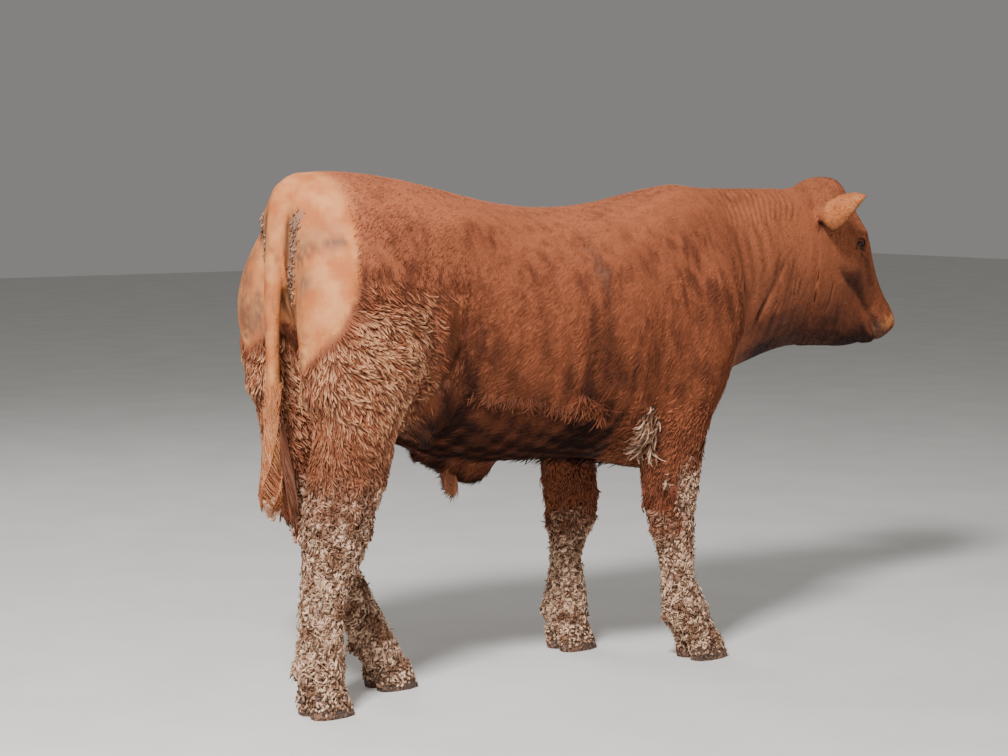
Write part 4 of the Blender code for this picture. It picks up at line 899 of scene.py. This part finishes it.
pool_x, pool_y, pool_z = ROOTS.T
pool_along, pool_left, pool_deep = head_place(ROOTS)
pool_leg = leg_of(ROOTS)
woolly = leg_share(ROOTS)
in_claw = pool_z < CLAW_TOP
on_head = pool_x > 1.62
on_neck = (pool_x > 1.28) & ~on_head
on_trunk = (pool_x <= 1.28) & ~in_claw
hair = 1 - ramp(POOL_MARKS["nose"], 0.2, 0.6)
eye_away = np.hypot(pool_along - EYE_ALONG, pool_deep - EYE_DEEP)
by_eye = (np.abs(pool_left) > 0.06) & (eye_away < 0.024)


def trunk_length(points, outward):
    """Coat length on the trunk: short on the back and buttocks, longest low on the ribs."""
    base = 0.016 + 0.012 * ramp(points[:, 2], 1.12, 0.80)
    marks = markings(points, outward)
    return base * (1 - 0.66 * marks["tan"]) * (1 - 0.25 * marks["pale"])


def trunk_width(points, outward):
    """Tufts are finer where the coat is short."""
    return 0.0034 - 0.0020 * markings(points, outward)["tan"]


trunk_density = TRUNK_DENSITY * on_trunk * (1 - woolly) * (1 - 0.7 * POOL_MARKS["wet"])
trunk_density = trunk_density * (1 - POOL_MARKS["mud"])
head_density = HEAD_DENSITY * on_head * hair * ~by_eye
trunk_size = (trunk_length, trunk_width, 0.0010, 0.17)
lay_tufts("coat_trunk_right", trunk_density * (pool_y < 0), 51, trunk_size, COAT_HAIR, TRUNK_AXIS)
lay_tufts("coat_trunk_left", trunk_density * (pool_y >= 0), 52, trunk_size, COAT_HAIR, TRUNK_AXIS)
lay_tufts("coat_neck", NECK_DENSITY * on_neck, 53, (0.011, 0.0024, 0.0006, 0.11), COAT_HAIR,
          NECK_AXIS, sink=0.0008)
lay_tufts("coat_head", head_density, 54, (0.0075, 0.0016, 0.0005, 0.13), COAT_HAIR, HEAD_AXIS,
          sink=0.0003, shades=0.10)

# Wet, clotted hair on the thighs: pointed flat locks with pale tips, a painted glint, which sweep
# forwards and down. They lie over the shorter hair of the trunk.
thigh_density = THIGH_DENSITY * POOL_MARKS["wet"] * (1 - 0.5 * woolly)
lay_tufts("coat_wet_thighs", thigh_density, 55, (0.031, 0.0064, 0.0032, 0.18), COAT_HAIR, TRUNK_AXIS,
          profile=(0.75, 1.0, 0.70), spacing=(0, 0.4, 0.75, 1), rise=(0, 0.6, 0.9, 0.9), curl=0.34,
          spread=0.10, shades=0.22)

# Small clods of dried dung beside the tail, stuck to the short hair of the buttocks. They are flat
# plates that lie every way, as the crust on the legs does.
DUNG_DENSITY = 15000
PLATE = {"profile": (0.8, 1.1, 0.9), "spacing": (0, 0.4, 0.85, 1), "rise": (0, 0.6, 0.9, 0.6),
         "spread": 2.0, "sink": 0.0005}
by_tail = 3 * POOL_MARKS["mud"] * (pool_leg < 0) * (pool_x < 0.12) * (np.abs(pool_y) < 0.12)
lay_tufts("mud_rump", DUNG_DENSITY * by_tail, 56, (0.009, 0.0066, 0.0030, 0.20), MUDDY_HAIR, TRUNK_AXIS,
          curl=0.8, shades=0.26, **PLATE)

# The legs: woolly hair above, and below it hair caked with mud in curls, plates and clods that stand
# every way. Each leg's hair and mud are pieces of their own.
WOOL_DENSITY = 34000
WOOL = {"profile": (0.8, 1.0), "spacing": (0, 0.5, 1), "rise": (0, 0.7, 1.0), "curl": 0.35}
# name, tufts to a square metre, first seed, size, shape
LEG_MUD = [
    ("mud_curls", 20000, 70, (0.021, 0.0048, 0.0026, 0.30),
     {"profile": (0.8, 1.0, 0.8), "spacing": (0, 0.35, 0.7, 1), "rise": (0, 0.7, 1.0, 0.7),
      "curl": 0.9, "spread": 0.8, "shades": 0.30}),
    ("mud_crust", 15000, 80, (0.013, 0.0085, 0.0038, 0.24), {**PLATE, "curl": 0.9, "shades": 0.22}),
    ("mud_clods", 3000, 90, (0.019, 0.0140, 0.0055, 0.22),
     {"profile": (0.8, 1.1, 0.9, 0.6), "spacing": (0, 0.3, 0.6, 0.9, 1), "rise": (0, 0.7, 1.0, 0.8, 0.4),
      "curl": 1.0, "spread": 2.0, "sink": 0.0010, "shades": 0.16}),
]
for index, (leg, (foot, top, _, _)) in enumerate(LEGS.items()):
    here = (pool_leg == index) | ((woolly > 0) & (leg_of(ROOTS - (0, 0, 0.1)) == index))
    here = here & ~in_claw
    mud_here = here * POOL_MARKS["mud"]
    wool_here = here * woolly * (1 - POOL_MARKS["mud"])
    lay_tufts(f"coat_{leg}", WOOL_DENSITY * wool_here, 60 + index, (0.024, 0.0042, 0.0014, 0.20),
              COAT_HAIR, (foot, top), **WOOL)
    for kind, density, first_seed, size, shape in LEG_MUD:
        lay_tufts(f"{kind}_{leg}", density * mud_here, first_seed + index, size, MUDDY_HAIR, (foot, top),
                  **shape)

# The fringes: dark wet locks along the low edge of the right and left flank that end in an upward
# curl, clotted locks behind each elbow, and shaggy hair under the brisket.
LOCK_STEPS = (0, 0.4, 0.75, 1)
CURL_STEPS = (0, 0.3, 0.6, 0.85, 1)
# name, the line's ends and reach on the right, tufts to a square metre, size, finish, shape
FRINGES = [
    ("fringe_flanks", ((0.40, -0.215, 0.750), (0.74, -0.228, 0.690), 0.026), 17000,
     (0.032, 0.0048, 0.0022, 0.24), COAT_HAIR,
     {"profile": (0.8, 1.0, 0.7), "spacing": LOCK_STEPS, "rise": (0, 0.5, 0.8, 0.8), "curl": 0.5,
      "spread": 0.3, "push": (0.5, 0, -0.2), "worn": {"dark": 0.66}}),
    ("fringe_curls", ((0.700, -0.240, 0.730), (0.770, -0.240, 0.690), 0.026), 24000,
     (0.034, 0.0040, 0.0018, 0.24), COAT_HAIR,
     {"profile": (0.8, 1.0, 0.8, 0.6), "spacing": CURL_STEPS, "rise": (0, 0.5, 0.9, 1.1, 1.1),
      "curl": 1.0, "spread": 0.5, "push": (0.8, 0, 0.2), "worn": {"dark": 0.42}}),
    ("locks_elbows", ((0.945, -0.225, 0.670), (0.955, -0.180, 0.585), 0.036), 17000,
     (0.046, 0.0062, 0.0036, 0.30), MUDDY_HAIR,
     {"profile": (0.7, 1.0, 0.9, 0.6), "spacing": CURL_STEPS, "rise": (0, 0.5, 0.8, 0.9, 0.7),
      "curl": 0.8, "spread": 0.4, "push": (0.3, 0, -0.3), "shades": 0.3, "worn": {"mud": 0.8}}),
    ("fringe_brisket", ((0.74, -0.02, 0.60), (0.98, -0.02, 0.575), 0.060), 12000,
     (0.034, 0.0050, 0.0018, 0.45), COAT_HAIR,
     {"profile": (0.8, 1.0, 0.6), "spacing": LOCK_STEPS, "rise": (0, 0.5, 0.85, 1.0), "curl": 0.3,
      "spread": 0.3}),
]
FRINGE_SEED = 111


def on_line(points, start, end, reach):
    """1 on a line between two places and 0 farther from it than this."""
    return ramp(line_place(points, start, end)[1], reach, reach * 0.5)


for index, (name, line, density, size, finish, shape) in enumerate(FRINGES):
    both_sides = np.maximum(on_line(ROOTS, *line), on_line(ROOTS * (1, -1, 1), *line))
    lay_tufts(name, density * both_sides, FRINGE_SEED + index, size, finish, TRUNK_AXIS, **shape)

# The claws are horn under caked mud. The solids stay and get that finish, with clods of mud stuck on
# them as small pieces of their own.
CLAW_REACH = 0.12
CLAW_CLOD_DENSITY = 26000


def finish_solids(nodes, material):
    """Gives solids that stay visible this material."""
    for node in nodes:
        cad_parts[node].data.materials.clear()
        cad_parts[node].data.materials.append(material)


claw_material, claw_tree, claw_shader = new_material("claw horn", 0.7)
claw_place = surface_place(claw_tree)
claw_rings = {"Vector": claw_place, "Scale": 48, "Distortion": 3, "Detail": 3}
claw_rings = add(claw_tree, "ShaderNodeTexWave", claw_rings, bands_direction="Z")
claw_horn = blend_colours(claw_tree, claw_rings.outputs["Fac"], screen(62, 48, 40), screen(92, 72, 58))
claw_mud = noise_share(claw_tree, claw_place, 38, 0.40, 0.52, detail=6)
claw_grain = noise_share(claw_tree, claw_place, 160, 0.35, 0.6)
claw_dry = blend_colours(claw_tree, claw_grain, MUD_BROWN, MUD_DARK)
claw_colour = blend_colours(claw_tree, claw_mud, claw_horn, claw_dry)
claw_tree.links.new(claw_colour, claw_shader.inputs["Base Color"])
relief(claw_tree, claw_shader, claw_mud, 0.9, 0.003)
finish_solids(CLAW_NODES, claw_material)

all_claws = copy_of("claw clods", CLAW_NODES)
claw_pool = surface_pool(all_claws.data, POOL_DENSITY, 95)
bpy.data.objects.remove(all_claws)
claw_x, claw_y, claw_z = claw_pool[0].T
claw_density = CLAW_CLOD_DENSITY * ramp(claw_z, 0.012, 0.040)
for index, (leg, (foot, top, _, _)) in enumerate(LEGS.items()):
    here = np.hypot(claw_x - foot[0], claw_y - foot[1]) < CLAW_REACH
    lay_tufts(f"mud_claws_{leg}", claw_density * here, 100 + index, (0.012, 0.0065, 0.0026, 0.20),
              MUDDY_HAIR, (foot, top), profile=(0.8, 1.1, 0.95), spacing=(0, 0.4, 0.85, 1),
              rise=(0, 0.8, 1.0, 0.7), curl=0.4, spread=2.0, pool=claw_pool, shades=0.3, worn={"mud": 1})

# The eyes are dark brown and wet, each one a ball in its socket behind the lids. The solids stay and
# get that finish.
eye_material, eye_tree, eye_shader = new_material("eye", 0.12)
eye_grain = noise_share(eye_tree, surface_place(eye_tree), 120, 0.4, 0.6)
eye_colour = blend_colours(eye_tree, eye_grain, screen(34, 20, 14), screen(14, 8, 8))
eye_tree.links.new(eye_colour, eye_shader.inputs["Base Color"])
eye_shader.inputs["Specular IOR Level"].default_value = 0.3
eye_shader.inputs["Coat Weight"].default_value = 0.1
finish_solids(("eye_right", "eye_left"), eye_material)

# The tail's switch: a clump of long muddy hair that ends in a clod, and one flat strand beside it.
# Each is a bundle of locks round a middle line, and the clump takes the place of the solid switch.
SWITCH_CLUMP = ((-0.036, -0.001, 0.790), (-0.037, 0.002, 0.68), (-0.038, 0.008, 0.58),
                (-0.040, 0.012, 0.52), (-0.038, 0.012, 0.470))
SWITCH_STRAND = ((-0.030, -0.003, 0.740), (-0.020, -0.015, 0.64), (-0.010, -0.024, 0.57),
                 (-0.002, -0.030, 0.49), (0.004, -0.034, 0.400))
LOCK_PROFILE = (0.6, 0.9, 1, 1, 1, 0.9, 0.75, 0.5)


def hanging_locks(name, line, count, seed, spreads, width, thick, masks, waviness):
    """Long locks that hang round a middle line, each on its own wavy path. spreads is how far they
    stand from it at even steps along it."""
    draw = np.random.default_rng(seed)
    line = np.array(line)
    spacing = np.linspace(0, 1, len(LOCK_PROFILE) + 1)
    knots = np.linspace(0, 1, len(line))
    ends = draw.uniform(0.80, 1.0, count)
    starts = draw.uniform(0.0, 0.45, count) ** 1.5
    turn = draw.uniform(0, 2 * math.pi, count)
    radius = np.sqrt(draw.random(count))
    paths = np.empty((count, len(spacing), 3))
    for index, part in enumerate(spacing):
        place = starts + (ends - starts) * part
        centre = np.stack([np.interp(place, knots, line[:, axis]) for axis in range(3)], axis=1)
        reach = np.interp(place, np.linspace(0, 1, len(spreads)), spreads)
        swirl = turn + waviness * np.sin(6 * place + 2 * turn)
        way = np.stack([np.cos(swirl), np.sin(swirl), np.zeros(count)], axis=1)
        paths[:, index] = centre + way * (radius * reach)[:, None]
    outward = unit(np.stack([np.cos(turn), np.sin(turn), np.zeros(count)], axis=1))
    side = unit(np.cross(outward, np.tile((0, 0, -1.0), (count, 1))))
    widths = width * draw.uniform(0.6, 1.4, count)
    shade = draw.uniform(0.10, 0.95, count)
    values = {mask: np.full(count, masks.get(mask, 0.0)) for mask in MASKS}
    patches = around(paths[:, 2], line[-1], line[0])
    return slivers(name, paths, side, outward, LOCK_PROFILE, widths, widths * thick, spacing, patches,
                   values, shade, COAT_HAIR)


switch_clump = hanging_locks("switch_clump", SWITCH_CLUMP, 800, 181,
                             (0.0215, 0.024, 0.026, 0.031, 0.024), 0.0028, 0.5,
                             {"tan": 0.60, "mud": 0.2}, 1.5)
# the strand is darker than the clump: painted shade, where it hangs between the tail and the leg
hanging_locks("switch_strand", SWITCH_STRAND, 260, 182, (0.010, 0.012, 0.013, 0.011, 0.006), 0.0028,
              0.45, {"dark": 0.55, "mud": 0.1}, 0.9)
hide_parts("tail_switch")

# The clods of dried mud that hang at the end of the switch. They are lumpy balls, a little taller
# than wide, joined in one piece.
CLOD_MASKS = {"mud": 0.85, "tip": 0.6, "shade": 0.6}
CLOD_STRETCH = (0.85, 0.85, 1.15)
# place, size
SWITCH_CLODS = [
    ((-0.046, 0.006, 0.486), 0.0135), ((-0.030, 0.004, 0.480), 0.0120), ((-0.040, 0.020, 0.478), 0.0125),
    ((-0.050, 0.014, 0.502), 0.0110), ((-0.028, 0.018, 0.498), 0.0110), ((-0.038, -0.002, 0.504), 0.0115),
    ((-0.036, 0.012, 0.466), 0.0105), ((0.001, -0.032, 0.412), 0.0080), ((-0.001, -0.030, 0.432), 0.0070),
]
clods = []
for place, size in SWITCH_CLODS:
    bpy.ops.mesh.primitive_ico_sphere_add(subdivisions=3, radius=size)
    clods.append(bpy.context.object)
    shape = model_points(clods[-1].data) + np.array(ORIGIN)
    shape *= (1 + 0.22 * wave(shape + place, 0.011, 46) + 0.10 * wave(shape + place, 0.005, 47))[:, None]
    set_points(clods[-1].data, shape * CLOD_STRETCH + place)
only(clods[0])
for clod in clods:
    clod.select_set(True)
bpy.ops.object.join()
clods = bpy.context.object
clods.name = "switch_clods"
set_masks(clods.data, {mask: np.full(len(clods.data.vertices), value)
                       for mask, value in CLOD_MASKS.items()})
clods.data.materials.append(mud_material)
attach(clods, "root")

# The tuft at the sheath: long pale hair that hangs from its opening. It is a bundle of locks, made as
# the switch is.
SHEATH_LINE = ((0.442, -0.010, 0.580), (0.448, -0.012, 0.550), (0.458, -0.014, 0.515),
               (0.468, -0.016, 0.470))
hanging_locks("sheath_tuft", SHEATH_LINE, 300, 183, (0.010, 0.017, 0.021, 0.015), 0.0020, 0.5,
              {"tan": 0.7, "stain": 0.35, "nose": 0.35}, 1.6)

# The floor, the lights and the photo's camera. The floor is a plain pale studio floor, and the light
# comes from behind the animal on its right side, high up.
FLOOR_SIZE = 40
bpy.ops.object.select_all(action="DESELECT")
bpy.ops.mesh.primitive_plane_add(size=FLOOR_SIZE, location=(0, 0, 0))
floor = bpy.context.object
floor.name = "floor"
floor_material, floor_tree, floor_shader = new_material("floor", 0.9)
floor_grain = noise_share(floor_tree, surface_place(floor_tree), 3, 0.3, 0.7)
floor_colour = blend_colours(floor_tree, floor_grain, screen(222, 220, 216), screen(216, 214, 210))
floor_tree.links.new(floor_colour, floor_shader.inputs["Base Color"])
floor.data.materials.append(floor_material)

CAMERA_PLACE = ORIGIN + Vector((-2.7144, -4.7826, 1.31))
CAMERA_YAW = math.radians(35)
SENSOR_WIDTH = 36
FOCAL_PIXELS, FRAME_PIXELS, HORIZON_PIXELS = 2300, 1008, 215
CAMERA_PITCH = math.atan(HORIZON_PIXELS / FOCAL_PIXELS)
camera_data = bpy.data.cameras.new("camera")
camera_data.sensor_width = SENSOR_WIDTH
camera_data.lens = FOCAL_PIXELS / FRAME_PIXELS * SENSOR_WIDTH
camera = bpy.data.objects.new("camera", camera_data)
camera.location = CAMERA_PLACE
camera.rotation_euler = (math.pi / 2 - CAMERA_PITCH, 0, -CAMERA_YAW)
bpy.context.scene.collection.objects.link(camera)
bpy.context.scene.camera = camera

LIGHT_TARGET = ORIGIN + Vector((0.8, 0, 0.8))
STUDIO_COLOUR, STUDIO_STRENGTH = (1.0, 0.98, 0.95, 1), 0.23
# name, offset from the target, size, watts
LIGHTS = [
    ("key", (-3.4, -2.7, 3.8), 1.0, 620),
    ("fill", (2.6, -4.4, 1.6), 3.0, 26),
    ("rim", (-0.6, 3.8, 3.4), 2.4, 70),
]
for light_name, offset, size, watts in LIGHTS:
    light_data = bpy.data.lights.new(light_name, "AREA")
    light_data.size = size
    light_data.energy = watts
    light = bpy.data.objects.new(light_name, light_data)
    light.location = LIGHT_TARGET + Vector(offset)
    light.rotation_euler = (-Vector(offset)).to_track_quat("-Z", "Y").to_euler()
    bpy.context.scene.collection.objects.link(light)
world = bpy.data.worlds.new("studio")
world.use_nodes = True
studio = world.node_tree.nodes["Background"]
studio.inputs["Color"].default_value = STUDIO_COLOUR
studio.inputs["Strength"].default_value = STUDIO_STRENGTH
bpy.context.scene.world = world
